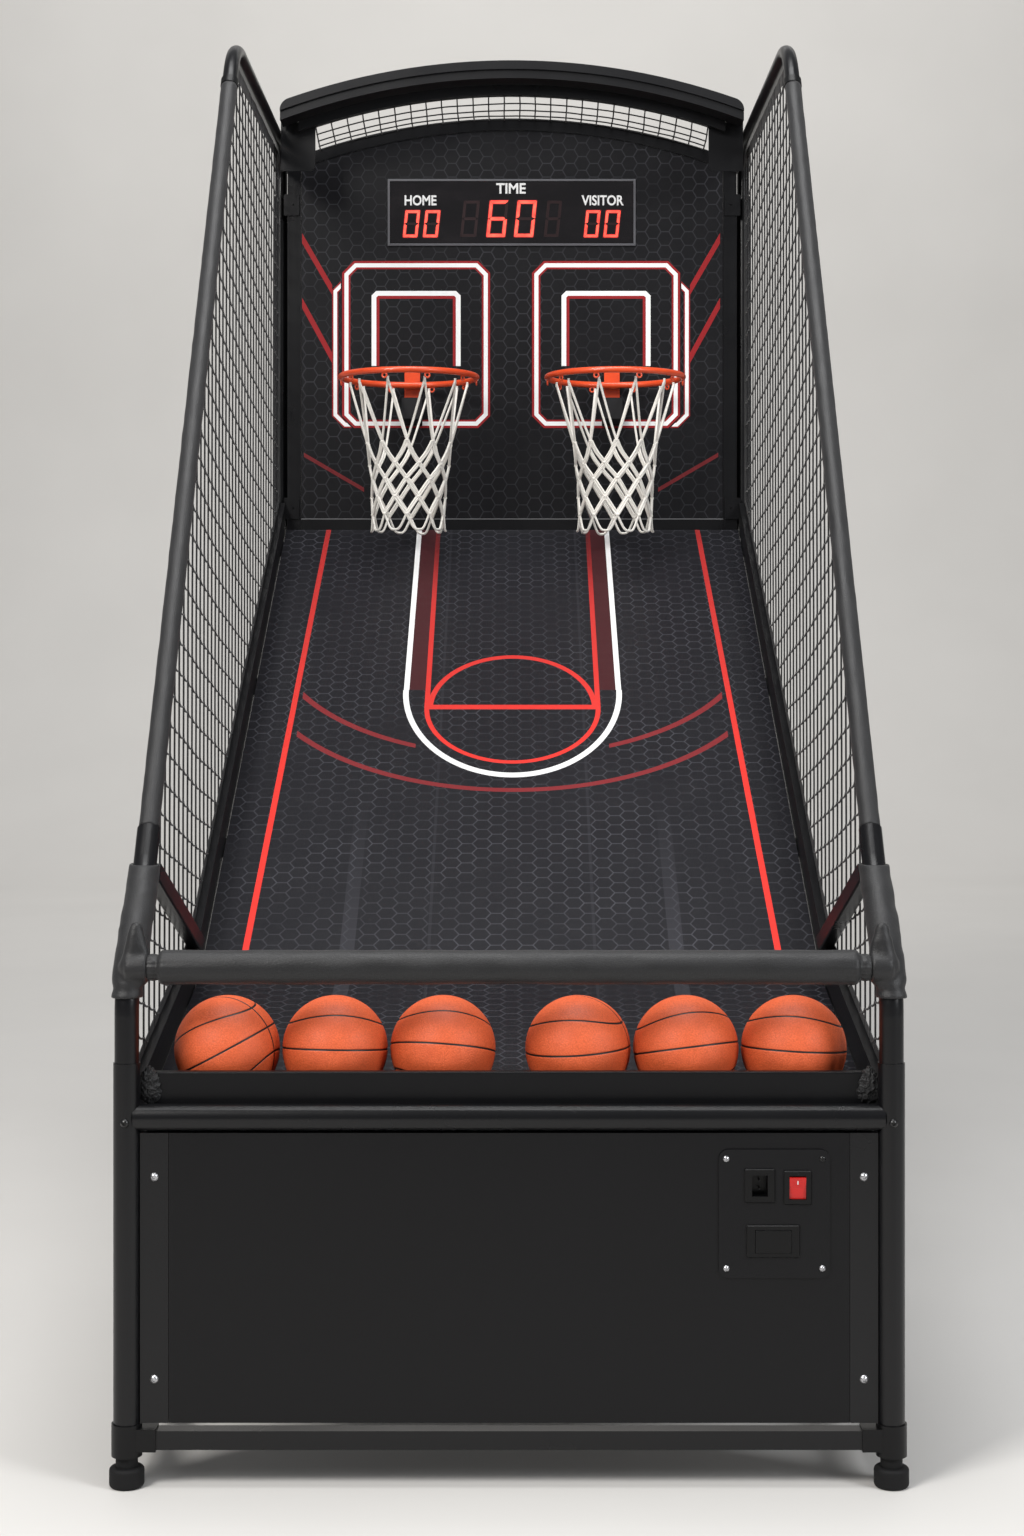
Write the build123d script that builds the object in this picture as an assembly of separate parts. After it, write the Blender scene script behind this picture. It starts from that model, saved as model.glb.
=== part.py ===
from build123d import *
import math
import os

# Two-player basketball hoop machine: a tube frame with netted sides carries a printed
# ramp, a printed backboard with two hoops and a display, and a closed front cabinet.
# Millimetres. +Z up, +X to the right of someone facing the machine, +Y away from them.
# The origin is on the floor, midway between the front and rear legs.

# ---------------------------------------------------------------- driving dimensions
TRACK = 1020.0            # between the left and right leg centres
WHEELBASE = 2100.0        # between the front and rear leg centres
RAIL_HEIGHT = 2232.0      # centre of the level top rails
CAMBER_RADIUS = 1330.0    # radius of the backboard's arched top edge
BOARD_PEAK = 2262.0       # top of the backboard panel at mid width
KERB_HEIGHT = 52.0        # side boards above the ramp, square to it
HOOP_SPACING = 438.0      # between the two hoop centres
HOOP_HEIGHT = 1699.5      # centre of the hoop rods
BALL_DIAMETER = 145.0
BALL_WALL = 3.5

# ---------------------------------------------------------------- stock and fits
WALL = 1.5                # wall of the thin tubes
HEAVY_WALL = 2.6          # wall of the tubes that take another tube inside
SLIP = 0.2                # radial gap of one tube sliding in another
GAP = 0.5                 # gap between neighbouring pieces that only meet
LEG_OD = 36.0
RISER_OD = LEG_OD - 2 * WALL - 2 * SLIP
RAIL_OD = RISER_OD - 2 * HEAVY_WALL - 2 * SLIP
CROSS_RAIL_OD = 35.4
SQUARE = 25.0             # square tube of the base and under the ramp

HALF = TRACK / 2
FRONT = -WHEELBASE / 2    # Y of the front legs
REAR = WHEELBASE / 2      # Y of the rear uprights

# ---------------------------------------------------------------- heights and stations
FOOT_HEIGHT = 27.0
FOOT_OD = 46.8
NECK_HEIGHT = 14.0
NECK_OD = 29.6
STEM_OD = 12.0
STEM_LENGTH = 40.0
STEM_CLEARANCE = 0.1
FITTING_OD = 41.0
FITTING_FLOOR = 14.0
FITTING_HEIGHT = 43.0
SOCKET_WALL = 2.5
SOCKET_REACH = 20.0
FITTING_Z = FOOT_HEIGHT + NECK_HEIGHT + GAP
BASE_RAIL_Z = FITTING_Z + FITTING_HEIGHT / 2 + 1.5

LEG_TOP = 565.0
RISER_INSERT = 110.0
SHOULDER_Z = 668.0        # where the riser starts to lean back
SHOULDER_RUN = (150.0, 138.0)
SLANT_SLOPE = 1.345       # rise over run of the long leaning rail
SHOULDER_RADIUS = 90.0
COUNTER_RADIUS = 200.0
SHOULDER_TAIL = 70.0
SLANT_INSERT = 45.0
TOP_CORNER_RADIUS = 160.0
REAR_CORNER_RADIUS = 70.0
JOINT_DROP = 88.0         # rail joint below the level rail's centre
SPIGOT = 40.0
UPRIGHT_TOP = RAIL_HEIGHT - 110.0
COLLAR_LENGTH = 16.0
COLLAR_WALL = 2.2
SLEEVE_THICKNESS = 1.2
SLEEVE_CLEARANCE = 0.15

LEG_BOLT = 6.0
LEG_BOLT_Z = 487.0
CROSS_RAIL_Z = 492.0
BAR_Z = 692.0
BAR_TUBE_OD = 25.4
BAR_FOAM_OD = 47.0
BAR_CUFF_OD = 36.0
BAR_CUFF = 16.0
PAD_OD = 44.0
PAD_LOW = 651.0
PAD_RISE = 12.0           # padding's top above the second bend

RAMP_KINK = (640.0, 598.1)     # from the front legs, height of the deck surface there
LOWER_SLOPE = 0.2
UPPER_SLOPE = 0.5524
DECK = 9.0
TRAY_WALL_Y = 20.0
TRAY_WALL = 15.0
TRAY_WALL_TOP = 549.0
TRAY_WALL_BOTTOM = 456.0
TRAY_HALF = HALF - 24.0
KERB = 13.0
DECK_MARGIN = 1.5
RAMP_END = WHEELBASE - 36.0
CROSS_BARS = (95.0, 600.0, 1000.0, 1500.0, WHEELBASE - 70.0)
BRACE_FROM = (140.0, 811.0)
BRACE_TO = (645.0, 640.0)
BRACE_DEPTH = 28.0
BRACE_WIDTH = 22.0

BOARD_FACE = WHEELBASE - 30.0       # front of the backboard panel, from the front legs
BOARD_THICKNESS = 9.0
BOARD_BOTTOM = 1408.0
BOARD_HALF = HALF - 47.0
CHANNEL = 29.5
CHANNEL_DEPTH = 25.0
BOARD_RAIL = 32.0
ARCH_RAIL = 26.0

HEADER_FACE = BOARD_FACE - 220.0
HEADER_DEPTH = 75.0
HEADER_HALF = HALF - 21.0
HEADER_BAND = 36.0
HEADER_STEP = 6.0
HEADER_WALL = 4.0
HEADER_RISE = 100.0       # header's outer radius over the backboard's
HEADER_END_RADIUS = 26.0
HEADER_TUBE = 21.0

HOOP_SETBACK = 175.0      # hoop centre in front of the backboard
HOOP_RADIUS = 143.5
HOOP_ROD = 13.0
HOOK_ROD = 3.6
HOOKS = 10
NET_WALL = 3.0

PANEL_TOP = 472.0
PANEL_BOTTOM = 86.0
PANEL_HALF = HALF - 56.5
PANEL_THICKNESS = 12.0
STRIP_WIDTH = 37.5
STRIP_FLANGE = 20.0
STRIP_FLANGE_THICKNESS = 3.0
STRIP_SCREWS_Z = (144.0, 413.5)
SCREW_SHANK = 4.0
SOCKET_SHARE = 0.24       # radius of a head's hexagon socket over its diameter
SOCKET_DEPTH = 0.8        # and the socket's depth over the head's height

PLATE_CENTRE = (353.0, 365.0)
PLATE_SIZE = (148.0, 171.0)
PLATE_CORNER = 13.0
PLATE_THICKNESS = 2.5
PLATE_SCREWS = (128.0, 146.0)
INLET_CENTRE = (333.5, 402.5)
INLET_FRAME = (41.0, 45.0)
INLET_WELL = (21.0, 28.0)
SWITCH_CENTRE = (384.0, 400.0)
SWITCH_FRAME = (37.0, 45.0)
SWITCH_WELL = (22.6, 31.2)
BUTTON_CENTRE = (351.5, 328.5)
BUTTON_FRAME = (71.0, 43.0)
BUTTON_WELL = (48.6, 30.6)
KEY_CLEARANCE = 0.3
FRAME_PROUD = 3.0
WELL_DEPTH = 22.0
BODY_MARGIN = 5.0         # frame's lip past the body that goes through the plate
ROCKER_TILT = 9.0         # the rocker's lean either side of level
ROCKER_END_GAP = 1.0
KEY_FRONT = 6.0           # rocker's front and back, from its pivot
KEY_BACK = 2.0
KEY_DIP = 1.0
PIVOT_OD = 2.4
PIVOT_REACH = 1.2
PIVOT_CLEARANCE = 0.05
BUTTON_PROUD = 1.6
BUTTON_DEPTH = 9.0
BOX_SIZE = (134.0, 62.0, 150.0)
BOX_WALL = 2.0

DISPLAY_HALF = (272.0, 73.0)
DISPLAY_CENTRE = (-1.0, 2082.0)
DISPLAY_LIP = 5.0
HOUSING_DEPTH = 42.0

BALL_GAP = 3.8
BALL_CLEARANCE = 0.8
BALL_SHIFT = 1.5          # the two rows of three lie slightly off centre
CENTRE_GAP = 93.0         # from the middle to the first ball's centre each way


def y_of(from_front):
    """Y of a station measured back from the front legs."""
    return FRONT + from_front


# ---------------------------------------------------------------- helpers
def block(x0, x1, y0, y1, z0, z1):
    return Pos((x0 + x1) / 2, (y0 + y1) / 2, (z0 + z1) / 2) * Box(
        abs(x1 - x0), abs(y1 - y0), abs(z1 - z0))


def rod_z(x, y, z0, z1, diameter):
    return Pos(x, y, (z0 + z1) / 2) * Cylinder(diameter / 2, z1 - z0)


def rod_y(x, y0, y1, z, diameter):
    return Pos(x, (y0 + y1) / 2, z) * Rot(X=90) * Cylinder(diameter / 2, abs(y1 - y0))


def rod_x(x0, x1, y, z, diameter):
    return Pos((x0 + x1) / 2, y, z) * Rot(Y=90) * Cylinder(diameter / 2, abs(x1 - x0))


def mirrored(shape):
    return mirror(shape, about=Plane.YZ)


def both(shape):
    """A right-hand piece and its left-hand twin, as two solids."""
    return Compound(children=[shape, mirrored(shape)])


def group(*shapes):
    """Separate solids that share one node."""
    solids = []
    for shape in shapes:
        solids.extend(shape.solids())
    return Compound(children=solids)


def side_path(points, radii):
    """A bent path in the side plane from (station, height) points."""
    corners = [(HALF, y_of(v), z) for v, z in points]
    return FilletPolyline(*corners, radius=radii) if radii else Polyline(*corners)


def sweep_round(path, diameter):
    """A round bar along a path."""
    section = Plane(origin=path @ 0, z_dir=path % 0) * Circle(diameter / 2)
    return sweep(section, path=path)


def tube_along(path, outer, wall):
    return sweep_round(path, outer) - sweep_round(path, outer - 2 * wall)


def side_slab(points, x0, x1):
    """A plate between two X planes with an outline of (station, height) points."""
    outline = Polyline(*[(y_of(v), z) for v, z in points], close=True)
    face = Plane(origin=(x0, 0, 0), x_dir=(0, 1, 0), z_dir=(1, 0, 0)) * make_face(outline)
    return extrude(face, x1 - x0)


def ramp_height(v):
    """Height of the deck surface at a station."""
    slope = LOWER_SLOPE if v < RAMP_KINK[0] else UPPER_SLOPE
    return RAMP_KINK[1] + slope * (v - RAMP_KINK[0])


def ramp_offset(v, distance):
    """Height at a station of a line a square distance above (or below) the deck surface."""
    slope = LOWER_SLOPE if v < RAMP_KINK[0] else UPPER_SLOPE
    return ramp_height(v) + distance * math.hypot(1, slope)


def kink_offset(distance):
    """Where both offset lines meet: the (station, height) of the kink at that distance."""
    low = RAMP_KINK[1] + distance * math.hypot(1, LOWER_SLOPE)
    high = RAMP_KINK[1] + distance * math.hypot(1, UPPER_SLOPE)
    shift = (low - high) / (UPPER_SLOPE - LOWER_SLOPE)
    return (RAMP_KINK[0] + shift, low + LOWER_SLOPE * shift)


def ramp_band(v0, v1, low, high, x0, x1):
    """A band that follows the ramp's profile between two square distances from it."""
    top, bottom = kink_offset(high), kink_offset(low)
    points = [(v0, ramp_offset(v0, low)), (v0, ramp_offset(v0, high))]
    if v0 < RAMP_KINK[0] < v1:
        points += [top]
    points += [(v1, ramp_offset(v1, high)), (v1, ramp_offset(v1, low))]
    if v0 < RAMP_KINK[0] < v1:
        points += [bottom]
    return side_slab(points, x0, x1)


ARCH_Z = BOARD_PEAK - CAMBER_RADIUS      # centre of every arch


def arch_sector(inner, outer, half, y0, y1):
    """A bar curved to the arch, cut off level at both ends."""
    disc = Pos(0, (y0 + y1) / 2, ARCH_Z) * Rot(X=90) * Cylinder(outer, y1 - y0)
    hole = Pos(0, (y0 + y1) / 2, ARCH_Z) * Rot(X=90) * Cylinder(inner, y1 - y0 + 2)
    keep = block(-half, half, y0 - 1, y1 + 1, ARCH_Z, ARCH_Z + outer + 1)
    return (disc - hole) & keep


# ---------------------------------------------------------------- the side rails' line
SHOULDER = (0.0, SHOULDER_Z)
ELBOW = (SHOULDER_RUN[0], SHOULDER_Z + SHOULDER_RUN[1])
SLANT_LENGTH_UNIT = math.hypot(1, SLANT_SLOPE)
TOP_CORNER = (ELBOW[0] + (RAIL_HEIGHT - ELBOW[1]) / SLANT_SLOPE, RAIL_HEIGHT)


def along_slant(distance):
    """(station, height) a distance up the leaning rail from its lower bend."""
    return (ELBOW[0] + distance / SLANT_LENGTH_UNIT,
            ELBOW[1] + distance * SLANT_SLOPE / SLANT_LENGTH_UNIT)


SLANT_TOTAL = math.hypot(TOP_CORNER[0] - ELBOW[0], TOP_CORNER[1] - ELBOW[1])
RAIL_JOINT = SLANT_TOTAL - JOINT_DROP * SLANT_LENGTH_UNIT / SLANT_SLOPE


# ---------------------------------------------------------------- frame tubes
def front_legs():
    leg = rod_z(HALF, FRONT, FITTING_Z + FITTING_FLOOR + GAP, LEG_TOP, LEG_OD)
    leg -= rod_z(HALF, FRONT, 0, LEG_TOP + 1, LEG_OD - 2 * WALL)
    leg -= rod_y(HALF, FRONT - LEG_OD, FRONT, LEG_BOLT_Z, LEG_BOLT + 2 * SLIP)
    return both(leg)


def shoulder_tubes():
    tube = tube_along(shoulder_path(), RISER_OD, HEAVY_WALL)
    tube -= rod_y(HALF, FRONT - LEG_OD, FRONT, LEG_BOLT_Z, LEG_BOLT + 2 * SLIP)
    return both(tube)


def slant_tubes():
    path = side_path([along_slant(SHOULDER_TAIL - SLANT_INSERT), along_slant(RAIL_JOINT)], None)
    return both(tube_along(path, RAIL_OD, WALL))


def top_rails():
    start = along_slant(RAIL_JOINT + GAP)
    corner = TOP_CORNER
    back = (WHEELBASE, RAIL_HEIGHT)
    path = side_path([start, corner, back, (WHEELBASE, UPRIGHT_TOP - SPIGOT)],
                     [TOP_CORNER_RADIUS, REAR_CORNER_RADIUS])
    rail = tube_along(path, RAIL_OD, WALL)
    spigot_path = side_path([along_slant(RAIL_JOINT - SPIGOT), along_slant(RAIL_JOINT + SPIGOT)],
                            None)
    spigot = tube_along(spigot_path, RAIL_OD - 2 * WALL - 2 * SLIP, WALL)
    bridge_path = side_path([start, along_slant(RAIL_JOINT + SPIGOT)], None)
    bridge = tube_along(bridge_path, RAIL_OD - WALL, WALL)
    return both(rail + bridge + spigot)


def rail_collars():
    path = side_path([along_slant(RAIL_JOINT - COLLAR_LENGTH / 2),
                      along_slant(RAIL_JOINT + COLLAR_LENGTH / 2)], None)
    bore = RAIL_OD + 2 * SLEEVE_CLEARANCE
    return both(sweep_round(path, bore + 2 * COLLAR_WALL) - sweep_round(path, bore))


def rear_uprights():
    upright = rod_z(HALF, REAR, FITTING_Z + FITTING_FLOOR + GAP, UPRIGHT_TOP, RISER_OD)
    upright -= rod_z(HALF, REAR, 0, UPRIGHT_TOP + 1, RISER_OD - 2 * HEAVY_WALL)
    return both(upright)


def corner_fitting(y, post, towards_rear):
    """A moulded base corner: a cup for the post and a socket for each base rail."""
    body = rod_z(HALF, y, FITTING_Z, FITTING_Z + FITTING_HEIGHT, FITTING_OD)
    outside = SQUARE + 2 * SOCKET_WALL
    z0, z1 = BASE_RAIL_Z - outside / 2, BASE_RAIL_Z + outside / 2
    reach = FITTING_OD / 2 + SOCKET_REACH
    end = y + reach if towards_rear else y - reach
    body += block(HALF - reach, HALF, y - outside / 2, y + outside / 2, z0, z1)
    body += block(HALF - outside / 2, HALF + outside / 2, min(y, end), max(y, end), z0, z1)
    body -= rod_z(HALF, y, FITTING_Z + FITTING_FLOOR, FITTING_Z + FITTING_HEIGHT + 5,
                  post + 2 * SLIP)
    body -= rod_z(HALF, y, 0, FITTING_Z + FITTING_FLOOR + 1, STEM_OD + 2 * STEM_CLEARANCE)
    bore = SQUARE / 2 + SLIP
    wall = post / 2 + SLIP + SOCKET_WALL
    body -= block(HALF - reach - 1, HALF - wall, y - bore, y + bore,
                  BASE_RAIL_Z - bore, BASE_RAIL_Z + bore)
    inner = y + wall if towards_rear else y - wall
    outer = end + 1 if towards_rear else end - 1
    body -= block(HALF - bore, HALF + bore, min(inner, outer), max(inner, outer),
                  BASE_RAIL_Z - bore, BASE_RAIL_Z + bore)
    return body


def corner_fittings():
    return group(both(corner_fitting(FRONT, LEG_OD, True)),
                 both(corner_fitting(REAR, RISER_OD, False)))


def levelling_foot(x, y):
    """A rubber puck under a wide neck, on the stem that screws into the fitting."""
    puck = fillet(rod_z(x, y, 0, FOOT_HEIGHT, FOOT_OD).edges(), 5.0)
    neck = rod_z(x, y, FOOT_HEIGHT - 1, FOOT_HEIGHT + NECK_HEIGHT, NECK_OD)
    stem = rod_z(x, y, FOOT_HEIGHT, FOOT_HEIGHT + NECK_HEIGHT + STEM_LENGTH, STEM_OD)
    return puck + neck + stem


def front_top_rail():
    reach = HALF - 10
    rail = rod_x(-reach, reach, FRONT, CROSS_RAIL_Z, CROSS_RAIL_OD)
    rail -= rod_x(-reach - 1, reach + 1, FRONT, CROSS_RAIL_Z, CROSS_RAIL_OD - 2 * WALL)
    for side in (-1, 1):
        rail -= rod_z(side * HALF, FRONT, CROSS_RAIL_Z - 40, CROSS_RAIL_Z + 40,
                      LEG_OD + 2 * SLIP)
    return rail


def square_tube_x(x0, x1, y, z, size=SQUARE):
    half = size / 2
    return block(x0, x1, y - half, y + half, z - half, z + half) - block(
        x0 - 1, x1 + 1, y - half + WALL, y + half - WALL, z - half + WALL, z + half - WALL)


def base_rails():
    front_end = HALF - LEG_OD / 2 - SLIP - SOCKET_WALL - GAP
    rear_end = HALF - RISER_OD / 2 - SLIP - SOCKET_WALL - GAP
    front = square_tube_x(-front_end, front_end, FRONT, BASE_RAIL_Z)
    rear = square_tube_x(-rear_end, rear_end, REAR, BASE_RAIL_Z)
    y0 = FRONT + LEG_OD / 2 + SLIP + SOCKET_WALL + GAP
    y1 = REAR - RISER_OD / 2 - SLIP - SOCKET_WALL - GAP
    half = SQUARE / 2
    side = block(HALF - half, HALF + half, y0, y1, BASE_RAIL_Z - half, BASE_RAIL_Z + half)
    side -= block(HALF - half + WALL, HALF + half - WALL, y0 - 1, y1 + 1,
                  BASE_RAIL_Z - half + WALL, BASE_RAIL_Z + half - WALL)
    return group(front, rear, both(side))


# ---------------------------------------------------------------- ramp
def ramp_rails():
    """Bent square tubes that carry the deck, from the front legs to the rear uprights."""
    v0 = LEG_OD / 2 + GAP
    v1 = WHEELBASE - RISER_OD / 2 - GAP
    x0, x1 = HALF - SQUARE / 2, HALF + SQUARE / 2
    tube = ramp_band(v0, v1, -SQUARE, 0, x0, x1)
    tube -= ramp_band(v0 - 5, v1 + 5, -SQUARE + WALL, -WALL, x0 + WALL, x1 - WALL)
    return both(tube)


def ramp_cross_bars():
    half_length = HALF - SQUARE / 2 - GAP
    bars = []
    for v in CROSS_BARS:
        slope = LOWER_SLOPE if v < RAMP_KINK[0] else UPPER_SLOPE
        drop = (DECK + GAP + SQUARE / 2) * math.hypot(1, slope)
        bar = Box(2 * half_length, SQUARE, SQUARE)
        bar -= Box(2 * half_length + 2, SQUARE - 2 * WALL, SQUARE - 2 * WALL)
        tilt = math.degrees(math.atan(slope))
        bars.append(Pos(0, y_of(v), ramp_height(v) - drop) * Rot(X=tilt) * bar)
    return group(*bars)


def side_boards():
    board = ramp_band(TRAY_WALL_Y, RAMP_END, GAP, KERB_HEIGHT,
                      HALF - SQUARE / 2, HALF - SQUARE / 2 + KERB)
    return both(board)


def deck_half():
    return HALF - SQUARE / 2 - DECK_MARGIN


def ramp_deck_front():
    return ramp_band(TRAY_WALL_Y + TRAY_WALL + GAP, RAMP_KINK[0] - GAP, -DECK, 0,
                     -deck_half(), deck_half())


def ramp_deck_rear():
    return ramp_band(RAMP_KINK[0] + GAP, RAMP_END, -DECK, 0, -deck_half(), deck_half())


def tray_front_board():
    y0 = y_of(TRAY_WALL_Y)
    board = block(-TRAY_HALF, TRAY_HALF, y0, y0 + TRAY_WALL, TRAY_WALL_BOTTOM,
                  TRAY_WALL_TOP)
    top = board.edges().group_by(Axis.Z)[-1].filter_by(Axis.X)
    return fillet(top, 3.0)


def side_braces():
    """Struts from the shoulder bends down to the side boards, cut to meet both."""
    outside = HALF - SQUARE / 2 + KERB - GAP
    run = (BRACE_TO[0] - BRACE_FROM[0], BRACE_TO[1] - BRACE_FROM[1])
    middle = ((BRACE_FROM[0] + BRACE_TO[0]) / 2, (BRACE_FROM[1] + BRACE_TO[1]) / 2)
    bar = Box(BRACE_WIDTH, math.hypot(*run), BRACE_DEPTH)
    bar = fillet(bar.edges().filter_by(Axis.Y), 3.0)
    place = Pos(outside - BRACE_WIDTH / 2, y_of(middle[0]), middle[1])
    bar = place * Rot(X=math.degrees(math.atan2(run[1], run[0]))) * bar
    bar -= sweep_round(shoulder_path(), PAD_OD + 2 * GAP)
    bar -= ramp_band(TRAY_WALL_Y, RAMP_END, -DECK, KERB_HEIGHT + GAP, 0, TRACK)
    return both(bar.solids().sort_by(SortBy.VOLUME)[-1])


# ---------------------------------------------------------------- front cabinet
PANEL_FACE = FRONT - PANEL_THICKNESS / 2
CUT_MARGIN = 14.0         # plate past the panel's cut-out on each side


def front_panel():
    panel = block(-PANEL_HALF, PANEL_HALF, PANEL_FACE, PANEL_FACE + PANEL_THICKNESS,
                  PANEL_BOTTOM, PANEL_TOP)
    cx, cz = PLATE_CENTRE
    half_x, half_z = PLATE_SIZE[0] / 2 - CUT_MARGIN, PLATE_SIZE[1] / 2 - CUT_MARGIN
    panel -= block(cx - half_x, cx + half_x, PANEL_FACE - 1, PANEL_FACE + PANEL_THICKNESS + 1,
                   cz - half_z, cz + half_z)
    for x, z in plate_screw_places():
        panel -= rod_y(x, PANEL_FACE - 1, PANEL_FACE + 9, z, SCREW_SHANK + 2 * SLIP)
    return panel


def strip_centre():
    return PANEL_HALF + GAP + STRIP_WIDTH / 2


def panel_strips():
    x0 = PANEL_HALF + GAP
    strip = block(x0, x0 + STRIP_WIDTH, PANEL_FACE, PANEL_FACE + PANEL_THICKNESS,
                  PANEL_BOTTOM, PANEL_TOP)
    back = PANEL_FACE + PANEL_THICKNESS
    strip += block(x0 - STRIP_FLANGE, x0 + STRIP_WIDTH, back + GAP / 2,
                   back + GAP / 2 + STRIP_FLANGE_THICKNESS, PANEL_BOTTOM, PANEL_TOP)
    strip += block(x0 + 1, x0 + STRIP_WIDTH, back - 1, back + 1, PANEL_BOTTOM, PANEL_TOP)
    for z in STRIP_SCREWS_Z:
        strip -= rod_y(strip_centre(), PANEL_FACE - 1, PANEL_FACE + 9, z,
                       SCREW_SHANK + 2 * SLIP)
    return both(strip)


def plate_screw_places():
    cx, cz = PLATE_CENTRE
    dx, dz = PLATE_SCREWS[0] / 2, PLATE_SCREWS[1] / 2
    return [(cx + i * dx, cz + j * dz) for i in (-1, 1) for j in (-1, 1)]


def screw(head, height, shank, length):
    """A dome-headed socket screw along +Y, with the underside of its head at the origin."""
    dome_radius = (head * head / 4 + height * height) / (2 * height)
    dome = Pos(0, dome_radius - height, 0) * Sphere(dome_radius)
    dome &= block(-head, head, -height - 1, 0, -head, head)
    socket = Plane(origin=(0, -height, 0), x_dir=(1, 0, 0), z_dir=(0, 1, 0))
    cut = extrude(socket * RegularPolygon(head * SOCKET_SHARE, 6), height * SOCKET_DEPTH)
    return dome + rod_y(0, 0, length, 0, shank) - cut


def frame_screws():
    """Every dome-headed screw: side strips, control plate and front legs."""
    small = screw(8.8, 2.6, SCREW_SHANK, 10)
    large = screw(11.6, 3.4, SCREW_SHANK, 8)
    placed = [Pos(x, PANEL_FACE - PLATE_THICKNESS, z) * small
              for x, z in plate_screw_places()]
    for side in (-1, 1):
        placed += [Pos(side * strip_centre(), PANEL_FACE, z) * large for z in STRIP_SCREWS_Z]
        placed.append(Pos(side * HALF, FRONT - LEG_OD / 2, LEG_BOLT_Z)
                      * screw(12.0, 4.0, LEG_BOLT, 9))
    return group(*placed)


def rounded_plate(cx, cz, size_x, size_z, y0, y1, radius):
    plate = block(cx - size_x / 2, cx + size_x / 2, y0, y1, cz - size_z / 2, cz + size_z / 2)
    return fillet(plate.edges().filter_by(Axis.Y), radius)


def control_openings():
    """Cut-outs in the plate: centre and size of the bodies that pass through it."""
    for centre, frame in ((INLET_CENTRE, INLET_FRAME), (SWITCH_CENTRE, SWITCH_FRAME),
                          (BUTTON_CENTRE, BUTTON_FRAME)):
        yield centre, (frame[0] - 2 * BODY_MARGIN, frame[1] - 2 * BODY_MARGIN)


def control_plate():
    y0 = PANEL_FACE - PLATE_THICKNESS
    plate = rounded_plate(*PLATE_CENTRE, *PLATE_SIZE, y0, PANEL_FACE, PLATE_CORNER)
    for (cx, cz), (w, h) in control_openings():
        plate -= block(cx - w / 2 - SLIP, cx + w / 2 + SLIP, y0 - 1, PANEL_FACE + 1,
                       cz - h / 2 - SLIP, cz + h / 2 + SLIP)
    for x, z in plate_screw_places():
        plate -= rod_y(x, y0 - 1, PANEL_FACE + 1, z, SCREW_SHANK + 2 * SLIP)
    return plate


PLATE_FACE = PANEL_FACE - PLATE_THICKNESS


def snap_in_frame(centre, frame, well, depth):
    """A snap-in body: a lip in front of the plate, a block through it and a well in it."""
    cx, cz = centre
    y0 = PLATE_FACE - FRAME_PROUD
    lip = rounded_plate(cx, cz, *frame, y0, PLATE_FACE, 2.0)
    front = lip.faces().sort_by(Axis.Y)[0].edges()
    lip = chamfer(front, 1.2)
    w, h = frame[0] - 2 * BODY_MARGIN, frame[1] - 2 * BODY_MARGIN
    body = block(cx - w / 2, cx + w / 2, PLATE_FACE - 0.5, PLATE_FACE + WELL_DEPTH + 3,
                 cz - h / 2, cz + h / 2)
    cut = block(cx - well[0] / 2, cx + well[0] / 2, y0 - 1, y0 + depth,
                cz - well[1] / 2, cz + well[1] / 2)
    return lip + body - cut


def power_inlet():
    """A two-pin mains inlet: a well with two contact pins."""
    inlet = snap_in_frame(INLET_CENTRE, INLET_FRAME, INLET_WELL, WELL_DEPTH - 2)
    cx, cz = INLET_CENTRE
    floor = PLATE_FACE - FRAME_PROUD + WELL_DEPTH - 2
    for side in (-1, 1):
        inlet += rod_y(cx, floor - 12, floor + 1, cz + side * 5.5, 2.4)
    return inlet


ROCKER_PIVOT_Y = PLATE_FACE - FRAME_PROUD + 7.0


def power_switch_frame():
    """The rocker's snap-in body, bored through both cheeks for the pivot pins."""
    frame = snap_in_frame(SWITCH_CENTRE, SWITCH_FRAME, SWITCH_WELL, WELL_DEPTH - 6)
    cx, cz = SWITCH_CENTRE
    reach = SWITCH_FRAME[0]
    return frame - rod_x(cx - reach, cx + reach, ROCKER_PIVOT_Y, cz,
                         PIVOT_OD + 2 * PIVOT_CLEARANCE)


def power_rocker():
    """A rocker key with a shallow dip and two pivot pins, its lower half pressed in."""
    cx, cz = SWITCH_CENTRE
    half_x = SWITCH_WELL[0] / 2 - KEY_CLEARANCE
    half_z = SWITCH_WELL[1] / 2 - ROCKER_END_GAP
    outline = Polyline((-half_z, KEY_FRONT), (-half_z, -KEY_BACK), (half_z, -KEY_BACK),
                       (half_z, KEY_FRONT), (0, KEY_FRONT - KEY_DIP), close=True)
    section = Plane(origin=(-half_x, 0, 0), x_dir=(0, 0, 1), z_dir=(1, 0, 0))
    key = extrude(section * make_face(outline), 2 * half_x)
    reach = half_x + KEY_CLEARANCE + PIVOT_REACH
    key += rod_x(-reach, reach, 0, 0, PIVOT_OD)
    return Pos(cx, ROCKER_PIVOT_Y, cz) * Rot(X=ROCKER_TILT) * key


def start_button_frame():
    return snap_in_frame(BUTTON_CENTRE, BUTTON_FRAME, BUTTON_WELL, WELL_DEPTH - 6)


def start_button():
    cx, cz = BUTTON_CENTRE
    half_x = BUTTON_WELL[0] / 2 - KEY_CLEARANCE
    half_z = BUTTON_WELL[1] / 2 - KEY_CLEARANCE
    y0 = PLATE_FACE - FRAME_PROUD - BUTTON_PROUD
    key = block(cx - half_x, cx + half_x, y0, y0 + BUTTON_DEPTH, cz - half_z, cz + half_z)
    key = fillet(key.edges().filter_by(Axis.Y), 2.0)
    return fillet(key.faces().sort_by(Axis.Y)[0].edges(), 1.0)


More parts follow.
